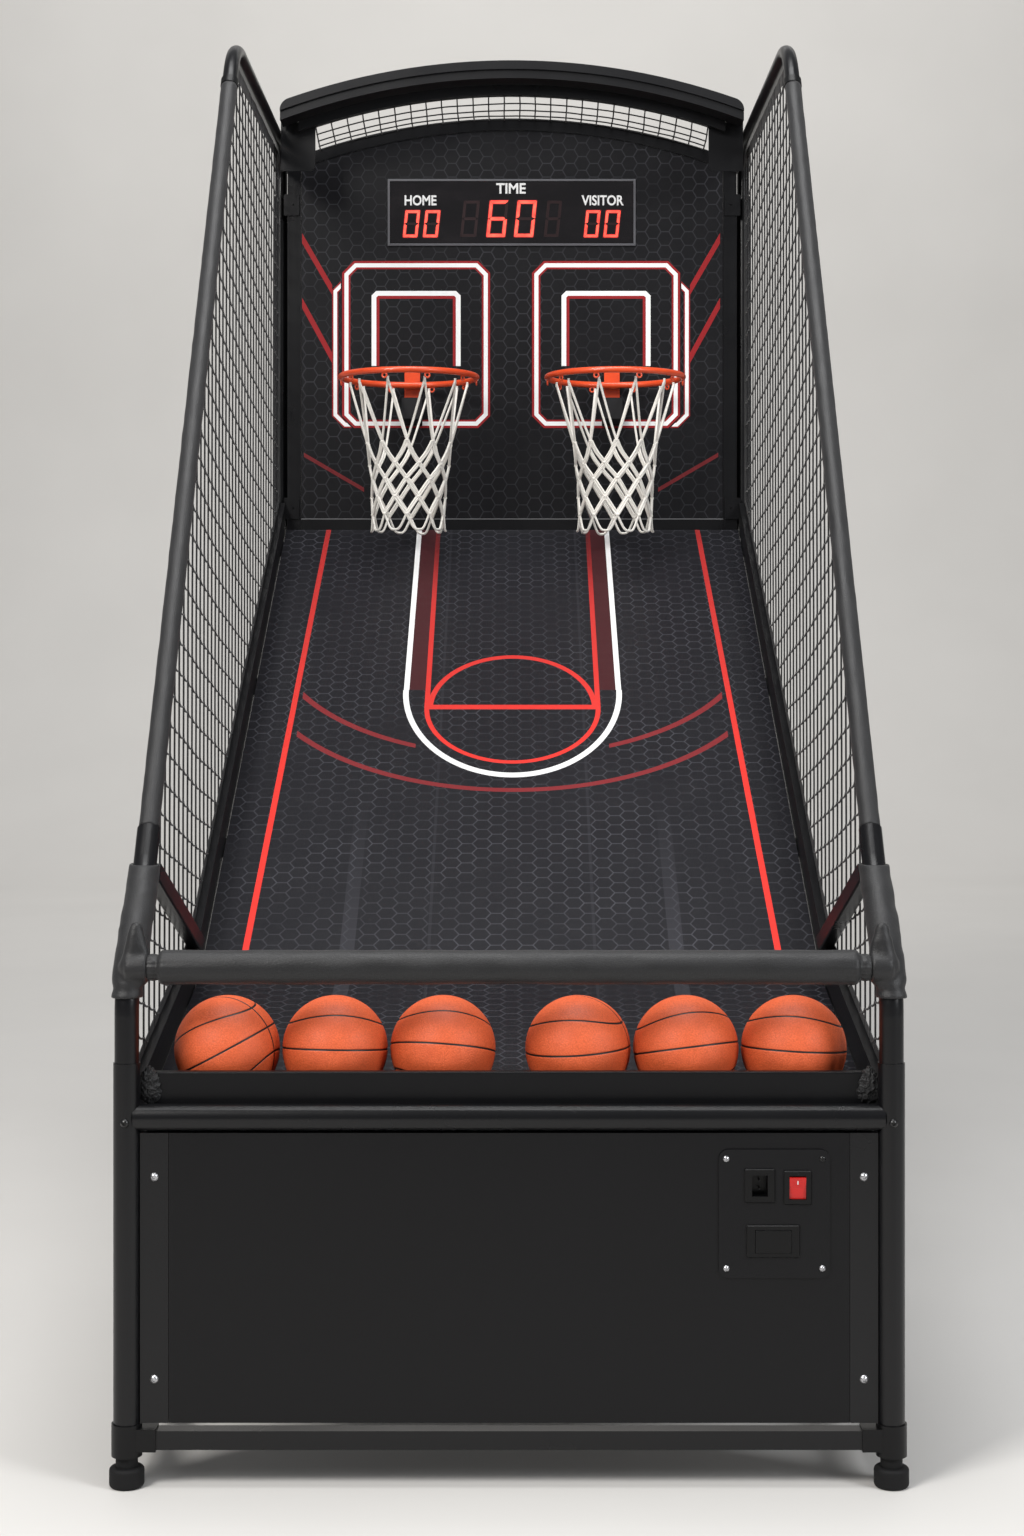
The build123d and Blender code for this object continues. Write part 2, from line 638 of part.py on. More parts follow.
BOX_Y = PANEL_FACE + PANEL_THICKNESS + STRIP_FLANGE_THICKNESS


def box_corners():
    cx, cz = PLATE_CENTRE
    return (cx - BOX_SIZE[0] / 2, cx + BOX_SIZE[0] / 2, BOX_Y, BOX_Y + BOX_SIZE[1],
            cz - BOX_SIZE[2] / 2, cz + BOX_SIZE[2] / 2)


def control_box():
    """A sheet-metal box on the back of the panel, open towards the control plate."""
    x0, x1, y0, y1, z0, z1 = box_corners()
    box = block(x0, x1, y0, y1, z0, z1)
    box -= block(x0 + BOX_WALL, x1 - BOX_WALL, y0 - 1, y1 - BOX_WALL, z0 + BOX_WALL,
                 z1 - BOX_WALL)
    box -= rod_x(x1 - BOX_WALL - 1, x1 + 1, LOOM_START[1], LOOM_START[2], LOOM_OD + 2)
    return box


def control_board():
    x0, x1, y0, y1, z0, z1 = box_corners()
    board = block(x0 + 6, x1 - 6, y1 - 12, y1 - 10.4, z0 + 62, z1 - 6)
    for i, (w, h, d) in enumerate(((26, 14, 9), (18, 18, 4), (12, 12, 12), (30, 8, 8))):
        x = x0 + 14 + i * 27
        board += block(x, x + w * 0.8, y1 - 12 - d, y1 - 11.5, z0 + 80, z0 + 80 + h)
    return board


def transformer():
    x0, x1, y0, y1, z0, z1 = box_corners()
    core = block(x0 + 30, x0 + 92, y1 - 38, y1 - BOX_WALL - GAP, z0 + 8, z0 + 54)
    coil = block(x0 + 40, x0 + 82, y1 - 44, y1 - 32, z0 + 14, z0 + 48)
    return core + coil


# The loom runs from the control box under the right-hand ramp rail to the display.
LOOM_OD = 8.0
LOOM_X = HALF - 48.0
LOOM_DROP = 52.0
LOOM_START = (0.0, BOX_Y + 30.0, 330.0)
LOOM_RADIUS = 30.0
LOOM_BACK = WHEELBASE + 8.0


def wiring_loom():
    x1 = box_corners()[1]
    z_start = LOOM_START[2]
    display_z = DISPLAY_CENTRE[1] - DISPLAY_HALF[1] + 40
    back = y_of(LOOM_BACK)
    kink = kink_offset(-LOOM_DROP)
    corners = [(x1 - BOX_WALL - 4, LOOM_START[1], z_start),
               (LOOM_X, LOOM_START[1], z_start),
               (LOOM_X, y_of(250), ramp_offset(250, -LOOM_DROP)),
               (LOOM_X, y_of(kink[0]), kink[1]),
               (LOOM_X, y_of(2010), ramp_offset(2010, -LOOM_DROP)),
               (LOOM_X, back, ramp_offset(2010, -LOOM_DROP)),
               (LOOM_X, back, display_z),
               (housing_half() + GAP, back, display_z)]
    return sweep_round(FilletPolyline(*corners, radius=LOOM_RADIUS), LOOM_OD)


CLIP_WIDTH = 10.0
CLIP_WALL = 1.6


def loom_clips():
    """Saddle clips that hold the loom under the deck's cross bars."""
    clips = []
    for v in CROSS_BARS[1:-1]:
        slope = LOWER_SLOPE if v < RAMP_KINK[0] else UPPER_SLOPE
        tilt = math.degrees(math.atan(slope))
        place = Pos(LOOM_X, y_of(v), ramp_offset(v, -LOOM_DROP)) * Rot(X=tilt)
        bore = LOOM_OD + 2 * SLEEVE_CLEARANCE
        hoop_part = Rot(X=90) * Cylinder(bore / 2 + CLIP_WALL, CLIP_WIDTH)
        stem_top = LOOM_DROP - DECK - SQUARE - 2 * GAP
        stem = Pos(0, 0, stem_top / 2) * Box(CLIP_WIDTH, CLIP_WIDTH, stem_top)
        clips.append(place * (hoop_part + stem - Rot(X=90) * Cylinder(bore / 2, 2 * CLIP_WIDTH)))
    return group(*clips)


# ---------------------------------------------------------------- backboard and display
def housing_half():
    return DISPLAY_HALF[0] - DISPLAY_LIP - SLIP


def display_block(margin_x, margin_z, v0, v1):
    """A block about the display's centre, its half sizes less a margin."""
    cx, cz = DISPLAY_CENTRE
    hx, hz = DISPLAY_HALF[0] - margin_x, DISPLAY_HALF[1] - margin_z
    return block(cx - hx, cx + hx, y_of(v0), y_of(v1), cz - hz, cz + hz)


def backboard_panel():
    y0, y1 = y_of(BOARD_FACE), y_of(BOARD_FACE + BOARD_THICKNESS)
    panel = Pos(0, (y0 + y1) / 2, ARCH_Z) * Rot(X=90) * Cylinder(CAMBER_RADIUS, y1 - y0)
    panel &= block(-BOARD_HALF, BOARD_HALF, y0 - 1, y1 + 1, BOARD_BOTTOM, BOARD_PEAK + 1)
    return panel - display_block(DISPLAY_LIP, DISPLAY_LIP, BOARD_FACE - 1,
                                 BOARD_FACE + BOARD_THICKNESS + 1)


def channel_top():
    x = BOARD_HALF + GAP + CHANNEL
    return ARCH_Z + math.sqrt((CAMBER_RADIUS + GAP) ** 2 - x * x)


def backboard_frame():
    """Two side channels, a bottom rail and an arched top rail round the panel."""
    y0 = y_of(BOARD_FACE - 2)
    y1 = y0 + CHANNEL_DEPTH
    x0 = BOARD_HALF + GAP
    bottom = BOARD_BOTTOM - GAP - BOARD_RAIL
    channel = block(x0, x0 + CHANNEL, y0, y1, bottom, channel_top() + ARCH_RAIL)
    channel -= block(x0 + WALL, x0 + CHANNEL - WALL, y0 + WALL, y1 - WALL, bottom - 1,
                     channel_top() - WALL)
    below_arch = Cylinder(CAMBER_RADIUS + GAP - SLIP, CHANNEL_DEPTH + 2)
    channel &= Pos(0, (y0 + y1) / 2, ARCH_Z) * Rot(X=90) * below_arch
    rail = block(-x0 + GAP, x0 - GAP, y0, y1, bottom, BOARD_BOTTOM - GAP)
    arch = arch_sector(CAMBER_RADIUS + GAP, CAMBER_RADIUS + GAP + ARCH_RAIL,
                       x0 + CHANNEL, y0, y1)
    return group(both(channel), rail, arch)


def scoreboard_housing():
    """The display's tray behind the panel, with a lip that clips over the cut-out."""
    back = BOARD_FACE + BOARD_THICKNESS
    body = display_block(DISPLAY_LIP + SLIP, DISPLAY_LIP + SLIP, BOARD_FACE + 1,
                         back + HOUSING_DEPTH)
    flange = display_block(-8, -8, back + GAP, back + GAP + 2.5)
    body += flange
    return body - display_block(DISPLAY_LIP + 2.5, DISPLAY_LIP + 2.5, BOARD_FACE,
                                back + HOUSING_DEPTH - 2.5)


def scoreboard_bezel():
    frame = display_block(0, 0, BOARD_FACE - 4, BOARD_FACE)
    return frame - display_block(DISPLAY_LIP - 0.5, DISPLAY_LIP - 0.5, BOARD_FACE - 5,
                                 BOARD_FACE + 1)


def scoreboard_window():
    return display_block(DISPLAY_LIP, DISPLAY_LIP, BOARD_FACE - 3, BOARD_FACE - 0.5)


DIGITS = ((-221.0, 38.0, 58.0), (-176.6, 38.0, 58.0), (-92.3, 46.0, 79.0),
          (-32.1, 46.0, 79.0), (29.2, 46.0, 79.0), (89.7, 46.0, 79.0),
          (175.7, 38.0, 58.0), (219.3, 38.0, 58.0))
DIGIT_BASE = 2028.0


def digit_display():
    """Eight numeral blocks soldered to one circuit board."""
    v0 = BOARD_FACE + 3
    board = display_block(DISPLAY_LIP + 6, DISPLAY_LIP + 6, v0 + 12, v0 + 13.6)
    for x, w, h in DIGITS:
        board += block(x - w / 2, x + w / 2, y_of(v0), y_of(v0 + 12.5), DIGIT_BASE - 4,
                       DIGIT_BASE + h + 4)
    return board


# ---------------------------------------------------------------- header and top net
def header_arch():
    """A hollow arched moulding with a stepped face and rounded upper corners."""
    outer = CAMBER_RADIUS + HEADER_RISE
    inner = outer - HEADER_BAND
    y0, y1 = y_of(HEADER_FACE), y_of(HEADER_FACE + HEADER_DEPTH)
    shell = arch_sector(inner, outer, HEADER_HALF, y0, y1)
    corners = shell.edges().filter_by(Axis.Y).sort_by(Axis.X)
    ends = [max(corners[:2], key=lambda e: e.center().Z),
            max(corners[-2:], key=lambda e: e.center().Z)]
    shell = fillet(ends, HEADER_END_RADIUS)
    mid = (inner + outer) / 2
    shell -= arch_sector(inner - 1, mid, HEADER_HALF + 1, y0 - 1, y0 + HEADER_STEP)
    hollow = arch_sector(inner + HEADER_WALL, outer - HEADER_WALL,
                         HEADER_HALF - HEADER_END_RADIUS, y0 + HEADER_STEP + HEADER_WALL,
                         y1 - HEADER_WALL)
    return shell - hollow


def header_tube_radii():
    top = CAMBER_RADIUS + HEADER_RISE - HEADER_BAND - GAP
    return top - HEADER_TUBE, top


HEADER_TUBE_Y = HEADER_FACE + HEADER_DEPTH - HEADER_TUBE / 2
TUBE_HALF = HALF - 55.0


def header_tube():
    inner, outer = header_tube_radii()
    y0 = y_of(HEADER_TUBE_Y)
    return arch_sector(inner, outer, TUBE_HALF, y0, y0 + HEADER_TUBE)


TAB = (26.0, 47.0)
BRACKET = 3.0


def corner_brackets():
    """Angle brackets of the header and tabs that tie the backboard frame to the uprights."""
    inner, outer = header_tube_radii()
    face = HEADER_TUBE_Y + HEADER_TUBE + GAP
    x1 = HALF - RAIL_OD / 2 - SLEEVE_THICKNESS - GAP
    z_top = ARCH_Z + math.sqrt(outer ** 2 - (TUBE_HALF - 30) ** 2) - 8
    z0 = z_top - 105
    plate = block(x1 - 74, x1, y_of(face), y_of(face) + BRACKET, z0, z_top)
    plate = fillet(plate.edges().filter_by(Axis.Y).group_by(Axis.X)[0], 12)
    back_end = BOARD_FACE - 2 - GAP
    arm = block(x1 - BRACKET, x1, y_of(face), y_of(back_end), z0 + 20, z_top)
    gusset = both(plate + arm)
    tab_x1 = BOARD_HALF + GAP + CHANNEL + 8
    tab_y = y_of(BOARD_FACE - 2 - GAP)
    tabs = []
    for z in (channel_top() - 70, BOARD_BOTTOM + 24):
        tab = block(tab_x1 - TAB[0] - 8, tab_x1, tab_y - BRACKET, tab_y, z - TAB[1] / 2,
                    z + TAB[1] / 2)
        tab = fillet(tab.edges().filter_by(Axis.Y), 3)
        tab -= rod_y(tab_x1 - TAB[0] / 2 - 8, tab_y - 10, tab_y + 10, z, 4.0)
        tabs.append(both(tab))
    return group(gusset, *tabs)


NET_HALF = HALF - 86.0
NET_SHEET = 1.6


def top_net():
    """The net over the gap between the header and the backboard, as a thin curved sheet."""
    front_radius = header_tube_radii()[0] + 4
    rear_radius = CAMBER_RADIUS + GAP + ARCH_RAIL - 2
    v0 = HEADER_TUBE_Y + HEADER_TUBE + GAP + BRACKET + GAP
    v1 = BOARD_FACE - 2 - GAP
    faces = []
    for v, radius in ((v0, front_radius), (v1, rear_radius)):
        half_angle = math.degrees(math.asin(NET_HALF / radius))
        centre = (0, y_of(v), ARCH_Z)
        plane = Plane(origin=centre, x_dir=(1, 0, 0), z_dir=(0, -1, 0))
        outer = CenterArc((0, 0), radius, 90 - half_angle, 2 * half_angle)
        inner = CenterArc((0, 0), radius - NET_SHEET, 90 - half_angle, 2 * half_angle)
        sides = [Line(outer @ 0, inner @ 0), Line(outer @ 1, inner @ 1)]
        faces.append(plane * make_face([outer, inner, *sides]))
    return loft(faces)


# ---------------------------------------------------------------- hoops
HOOP_Y = BOARD_FACE - HOOP_SETBACK
HOOP_PLATE = (34.0, 62.0, 4.0)


def hoop(x):
    """A rod ring with net hooks, an arm and the plate that bolts to the backboard."""
    y = y_of(HOOP_Y)
    ring = Pos(x, y, HOOP_HEIGHT) * Torus(HOOP_RADIUS, HOOP_ROD / 2)
    plate_y = y_of(BOARD_FACE) - GAP / 2
    w, h, t = HOOP_PLATE
    plate = block(x - w / 2, x + w / 2, plate_y - t, plate_y, HOOP_HEIGHT - h / 2 + 6,
                  HOOP_HEIGHT + h / 2 + 6)
    arm = block(x - w / 2, x + w / 2, y + HOOP_RADIUS - 2, plate_y - t + 1,
                HOOP_HEIGHT - HOOP_ROD / 2, HOOP_HEIGHT - 1)
    body = ring + arm + plate
    eye = 5.0
    for i in range(HOOKS):
        angle = 90 + 360 / HOOKS * (i + 0.5)
        hook = Rot(X=90) * Torus(eye, HOOK_ROD / 2)
        place = Pos(x, y, HOOP_HEIGHT) * Rot(Z=angle) * Pos(
            HOOP_RADIUS, 0, -HOOP_ROD / 2 - eye + 0.8)
        body += place * Rot(Z=90) * hook
    return body


NET_PROFILE = ((127.0, 1683.0), (114.0, 1612.0), (93.0, 1569.0), (84.0, 1530.0),
               (80.0, 1484.0), (78.0, 1442.0), (80.0, 1374.0))


def hoop_net(x):
    """The hoop's net as an open-ended funnel that narrows and then hangs straight."""
    drop = HOOP_HEIGHT - 1699.5
    outside = [(r, z + drop) for r, z in NET_PROFILE]
    inside = [(r - NET_WALL, z) for r, z in reversed(outside)]
    outline = Polyline(*outside, *inside, close=True)
    funnel = revolve(Plane.XZ * make_face(outline), Axis.Z)
    return Pos(x, y_of(HOOP_Y), 0) * funnel


SENSOR = (44.0, 30.0, 60.0)


def score_sensors():
    """Light-beam sensor boxes on the backboard under the hoops."""
    w, d, h = SENSOR
    back = y_of(BOARD_FACE) - GAP / 2
    top = HOOP_HEIGHT - HOOP_PLATE[1] / 2 + 6 - 2
    box = block(HOOP_SPACING / 2 - w / 2, HOOP_SPACING / 2 + w / 2, back - d, back,
                top - h, top)
    box = chamfer(box.faces().sort_by(Axis.Y)[0].edges().sort_by(Axis.Z)[0], 14)
    return both(box)


# ---------------------------------------------------------------- nets, padding, balls
NET_PLANE = HALF - SQUARE / 2 + KERB + GAP
NET_LAP = 12.0            # how far the net hangs below the kerb's top edge


def side_nets():
    """Thin sheets inside the side tubes, down to the outside of the kerbs."""
    lap = KERB_HEIGHT - NET_LAP
    kink = kink_offset(lap)
    low_front = ramp_offset(TRAY_WALL_Y, lap)
    tubes = side_path([(0, low_front), SHOULDER, ELBOW, TOP_CORNER,
                       (WHEELBASE, RAIL_HEIGHT), (WHEELBASE, ramp_offset(WHEELBASE, lap))],
                      [SHOULDER_RADIUS, COUNTER_RADIUS, TOP_CORNER_RADIUS,
                       REAR_CORNER_RADIUS])
    lower = Polyline(tubes @ 1, (HALF, y_of(kink[0]), kink[1]),
                     (HALF, y_of(TRAY_WALL_Y), low_front), tubes @ 0)
    sheet = extrude(make_face([*tubes.edges(), *lower.edges()]), NET_SHEET,
                    dir=(1, 0, 0))
    margin = PAD_OD + 4 * GAP
    low_end = ramp_offset(WHEELBASE, lap)
    sheet -= sweep_round(tubes, margin)
    sheet -= rod_z(HALF, REAR, low_end - KERB_HEIGHT, low_end + 1, margin)
    return both(Pos(NET_PLANE - HALF, 0, 0) * sheet)


def padded_bar_tube():
    end = HALF - RISER_OD / 2 - GAP
    tube = rod_x(-end, end, FRONT, BAR_Z, BAR_TUBE_OD)
    return tube - rod_x(-end - 1, end + 1, FRONT, BAR_Z, BAR_TUBE_OD - 2 * WALL)


FOAM_HALF = HALF - 28.0


def bar_padding():
    foam = rod_x(-FOAM_HALF + BAR_CUFF, FOAM_HALF - BAR_CUFF, FRONT, BAR_Z, BAR_FOAM_OD)
    foam = fillet(foam.edges().filter_by(GeomType.CIRCLE), 5.0)
    foam += rod_x(-FOAM_HALF, FOAM_HALF, FRONT, BAR_Z, BAR_CUFF_OD)
    bore = BAR_TUBE_OD + 2 * SLEEVE_CLEARANCE
    return foam - rod_x(-FOAM_HALF - 1, FOAM_HALF + 1, FRONT, BAR_Z, bore)


def shoulder_path():
    return side_path([(0, LEG_TOP - RISER_INSERT), SHOULDER, ELBOW,
                      along_slant(SHOULDER_TAIL)], [SHOULDER_RADIUS, COUNTER_RADIUS])


def corner_pads():
    """Padded covers over the shoulder bends, with a branch that meets the bar."""
    path = shoulder_path()
    cover = sweep_round(path, PAD_OD)
    cover &= block(HALF - PAD_OD, HALF + PAD_OD, FRONT - PAD_OD, y_of(ELBOW[0]) + PAD_OD,
                   PAD_LOW, ELBOW[1] + PAD_RISE)
    cover += rod_x(FOAM_HALF + GAP, HALF, FRONT, BAR_Z, BAR_CUFF_OD + 2)
    cover -= sweep_round(path, RISER_OD + 2 * SLEEVE_CLEARANCE)
    cover -= rod_x(FOAM_HALF, HALF, FRONT, BAR_Z, BAR_TUBE_OD + 2 * SLEEVE_CLEARANCE)
    return both(cover)


def net_sleeves():
    """Fabric sleeves round the leaning rails, from the shoulder to the collar."""
    start = along_slant(SHOULDER_TAIL + GAP)
    end = along_slant(RAIL_JOINT - COLLAR_LENGTH / 2 - GAP)
    path = side_path([start, end], None)
    bore = RAIL_OD + 2 * SLEEVE_CLEARANCE
    return both(sweep_round(path, bore + 2 * SLEEVE_THICKNESS) - sweep_round(path, bore))


def ball():
    """An inflated rubber ball, hollow inside."""
    return Sphere(BALL_DIAMETER / 2) - Sphere(BALL_DIAMETER / 2 - BALL_WALL)


def ball_places():
    """(x, y, z) of the six balls, three a side, at rest on the deck against the tray wall."""
    radius = BALL_DIAMETER / 2
    tilt = math.hypot(1, LOWER_SLOPE)
    v = TRAY_WALL_Y + TRAY_WALL + radius + BALL_CLEARANCE
    z = ramp_height(v) + (radius + BALL_CLEARANCE) * tilt
    pitch = BALL_DIAMETER + BALL_GAP
    return [(side * (CENTRE_GAP + i * pitch) + BALL_SHIFT, y_of(v), z)
            for side, order in ((-1, (2, 1, 0)), (1, (0, 1, 2))) for i in order]



def main():
    os.makedirs("parts", exist_ok=True)
    hoop_x = HOOP_SPACING / 2
    parts = {
        "front_legs": front_legs(),
        "shoulder_tubes": shoulder_tubes(),
        "slant_tubes": slant_tubes(),
        "top_rails": top_rails(),
        "rail_collars": rail_collars(),
        "rear_uprights": rear_uprights(),
        "corner_fittings": corner_fittings(),
        "foot_front_left": levelling_foot(-HALF, FRONT),
        "foot_front_right": levelling_foot(HALF, FRONT),
        "foot_rear_left": levelling_foot(-HALF, REAR),
        "foot_rear_right": levelling_foot(HALF, REAR),
        "front_top_rail": front_top_rail(),
        "base_rails": base_rails(),
        "ramp_rails": ramp_rails(),
        "ramp_cross_bars": ramp_cross_bars(),
        "side_boards": side_boards(),
        "ramp_deck_front": ramp_deck_front(),
        "ramp_deck_rear": ramp_deck_rear(),
        "tray_front_board": tray_front_board(),
        "side_braces": side_braces(),
        "front_panel": front_panel(),
        "panel_strips": panel_strips(),
        "frame_screws": frame_screws(),
        "control_plate": control_plate(),
        "power_inlet": power_inlet(),
        "power_switch_frame": power_switch_frame(),
        "power_rocker": power_rocker(),
        "start_button_frame": start_button_frame(),
        "start_button": start_button(),
        "control_box": control_box(),
        "control_board": control_board(),
        "transformer": transformer(),
        "wiring_loom": wiring_loom(),
        "loom_clips": loom_clips(),
        "backboard_panel": backboard_panel(),
        "backboard_frame": backboard_frame(),
        "scoreboard_housing": scoreboard_housing(),
        "scoreboard_bezel": scoreboard_bezel(),
        "scoreboard_window": scoreboard_window(),
        "digit_display": digit_display(),
        "header_arch": header_arch(),
        "header_tube": header_tube(),
        "corner_brackets": corner_brackets(),
        "top_net": top_net(),
        "hoop_left": hoop(-hoop_x),
        "hoop_right": hoop(hoop_x),
        "hoop_net_left": hoop_net(-hoop_x),
        "hoop_net_right": hoop_net(hoop_x),
        "score_sensors": score_sensors(),
        "side_nets": side_nets(),
        "padded_bar_tube": padded_bar_tube(),
        "bar_padding": bar_padding(),
        "corner_pads": corner_pads(),
        "net_sleeves": net_sleeves(),
    }
    for number, (x, y, z) in enumerate(ball_places(), start=1):
        parts[f"ball_{number}"] = Pos(x, y, z) * ball()
    for name, shape in parts.items():
        export_step(shape, f"parts/{name}.step")


main()
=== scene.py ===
import math

import bmesh
import bpy
import numpy as np
from bpy.props import FloatProperty, FloatVectorProperty, IntProperty, PointerProperty
from mathutils import Matrix, Vector, noise


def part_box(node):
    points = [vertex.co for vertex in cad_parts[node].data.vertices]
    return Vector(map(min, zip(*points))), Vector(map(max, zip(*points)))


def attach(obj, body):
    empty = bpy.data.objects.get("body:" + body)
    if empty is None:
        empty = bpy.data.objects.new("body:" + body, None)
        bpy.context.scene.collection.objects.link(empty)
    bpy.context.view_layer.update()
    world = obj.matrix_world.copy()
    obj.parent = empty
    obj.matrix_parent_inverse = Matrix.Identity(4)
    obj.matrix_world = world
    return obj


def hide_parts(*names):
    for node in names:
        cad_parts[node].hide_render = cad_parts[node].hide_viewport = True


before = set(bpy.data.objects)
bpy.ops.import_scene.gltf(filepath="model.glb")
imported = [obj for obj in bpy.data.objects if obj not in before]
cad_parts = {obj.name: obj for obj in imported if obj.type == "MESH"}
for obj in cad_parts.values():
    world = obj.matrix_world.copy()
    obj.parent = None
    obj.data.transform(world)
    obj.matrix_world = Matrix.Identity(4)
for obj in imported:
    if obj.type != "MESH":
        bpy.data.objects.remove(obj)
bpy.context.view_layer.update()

bl_info = {
    "name": "Basketball hoop machine",
    "version": (1, 0, 0),
    "blender": (4, 5, 0),
    "location": "3D Viewport > Sidebar > Hoops",
    "description": "Builds the finishes, nets, balls and covers of a basketball hoop machine",
    "category": "Object",
}

ROOT = "machine"
HALF_BASE = 1.05            # half the distance between the front and rear legs
DECK_STRETCH = 1.1424       # length along the upper deck for each unit of depth
PRINT_CENTRE = 2.0          # mm, the middle of the deck print
BOARD_CENTRE = -2.3         # mm, the middle of the backboard print
HEX_COLUMN = 26.0           # mm between columns of hexagons
HEX_ROW = 30.0              # mm between rows of hexagons
ARCH_CENTRE_Z = 0.932       # centre of the header's arch
RAIL_AXIS = Vector((0.0, 0.5966, 0.8025))


def tone(red, green, blue):
    """A colour given in display steps, 0 to 255, as the linear colour a shader takes."""
    def linear(step):
        share = step / 255
        return share / 12.92 if share <= 0.04045 else ((share + 0.055) / 1.055) ** 2.4
    return (linear(red), linear(green), linear(blue), 1.0)


PRINT_RED = tone(222, 54, 46)
BOARD_RED = tone(142, 32, 36)
PRINT_WHITE = tone(232, 232, 232)
PRINT_BLACK = tone(22, 22, 27)
BOARD_BLACK = tone(15, 15, 18)
PRINT_GREY = tone(60, 60, 66)
BOARD_GREY = tone(46, 46, 50)
PRINT_DARK_RED = tone(122, 38, 42)
PRINT_TINT = tone(66, 24, 28)


# ---------------------------------------------------------------- settings
class HoopFinishSettings(bpy.types.PropertyGroup):
    """Colours of the machine's main finishes."""
    frame_colour: FloatVectorProperty(
        name="Frame", description="Powder coat of the tubes", subtype="COLOR", size=4,
        default=tone(14, 14, 16), min=0, max=1)
    hoop_colour: FloatVectorProperty(
        name="Hoop", description="Paint of the two rings", subtype="COLOR", size=4,
        default=tone(226, 78, 34), min=0, max=1)
    ball_colour: FloatVectorProperty(
        name="Ball", description="Rubber of the balls", subtype="COLOR", size=4,
        default=tone(232, 104, 58), min=0, max=1)
    cord_colour: FloatVectorProperty(
        name="Hoop net", description="Braided cord of the hoop nets", subtype="COLOR", size=4,
        default=tone(246, 243, 236), min=0, max=1)
    digit_colour: FloatVectorProperty(
        name="Digits", description="Light of the score digits", subtype="COLOR", size=4,
        default=tone(255, 84, 66), min=0, max=1)


class HoopNetSettings(bpy.types.PropertyGroup):
    """Sizes of the nets' cords and meshes."""
    hoop_cord: FloatProperty(name="Hoop cord", description="Thickness of a hoop net's cord",
                             default=0.0052, min=0.001, max=0.02, unit="LENGTH")
    hoop_loops: IntProperty(name="Loops", description="Hooks and bottom loops of a hoop net",
                            default=10, min=6, max=16)
    side_cord: FloatProperty(name="Side cord", description="Thickness of the side nets' cord",
                             default=0.0032, min=0.001, max=0.01, unit="LENGTH")
    side_mesh: FloatProperty(name="Side mesh", description="Pitch of the side nets' squares",
                             default=0.049, min=0.02, max=0.1, unit="LENGTH")
    top_mesh: FloatProperty(name="Top mesh", description="Pitch of the top net's cords",
                            default=0.034, min=0.02, max=0.1, unit="LENGTH")


class HoopCoverSettings(bpy.types.PropertyGroup):
    """How the soft covers crease."""
    crease: FloatProperty(name="Crease", description="Depth of the corner covers' creases",
                          default=0.0015, min=0, max=0.01, unit="LENGTH")
    voxel: FloatProperty(name="Detail", description="Grid that the corner covers are remade on",
                         default=0.003, min=0.002, max=0.01, unit="LENGTH")


class HoopMachineSettings(bpy.types.PropertyGroup):
    """Everything that a user may change."""
    finish: PointerProperty(type=HoopFinishSettings)
    nets: PointerProperty(type=HoopNetSettings)
    covers: PointerProperty(type=HoopCoverSettings)


def settings():
    return bpy.context.scene.hoop_machine


# ---------------------------------------------------------------- shader helpers
class Wire:
    """A number on a shader socket, with Python's own arithmetic."""

    def __init__(self, paint, socket):
        self.paint = paint
        self.socket = socket

    def math(self, operation, *values):
        inputs = {i: value for i, value in enumerate((self, *values))}
        made = self.paint.node("ShaderNodeMath", {"operation": operation}, inputs)
        return Wire(self.paint, made.outputs[0])

    def __add__(self, other):
        return self.math("ADD", other)

    __radd__ = __add__

    def __mul__(self, other):
        return self.math("MULTIPLY", other)

    __rmul__ = __mul__

    def __sub__(self, other):
        return self.math("SUBTRACT", other)

    def __rsub__(self, other):
        return (self * -1.0) + other

    def __truediv__(self, other):
        return self.math("DIVIDE", other)

    def __abs__(self):
        return self.math("ABSOLUTE")

    def __lt__(self, other):
        return self.math("LESS_THAN", other)

    def __gt__(self, other):
        return self.math("GREATER_THAN", other)

    def __mod__(self, other):
        return self.math("FLOORED_MODULO", other)

    def root(self):
        return self.math("SQRT")

    def sine(self):
        return self.math("SINE")

    def either(self, other):
        return self.math("MAXIMUM", other)

    def least(self, other):
        return self.math("MINIMUM", other)

    def clipped(self):
        return self.math("MAXIMUM", 0.0).math("MINIMUM", 1.0)

    def between(self, low, high):
        return (self > low) * (self < high)

    def near(self, value, reach):
        return abs(self - value) < reach


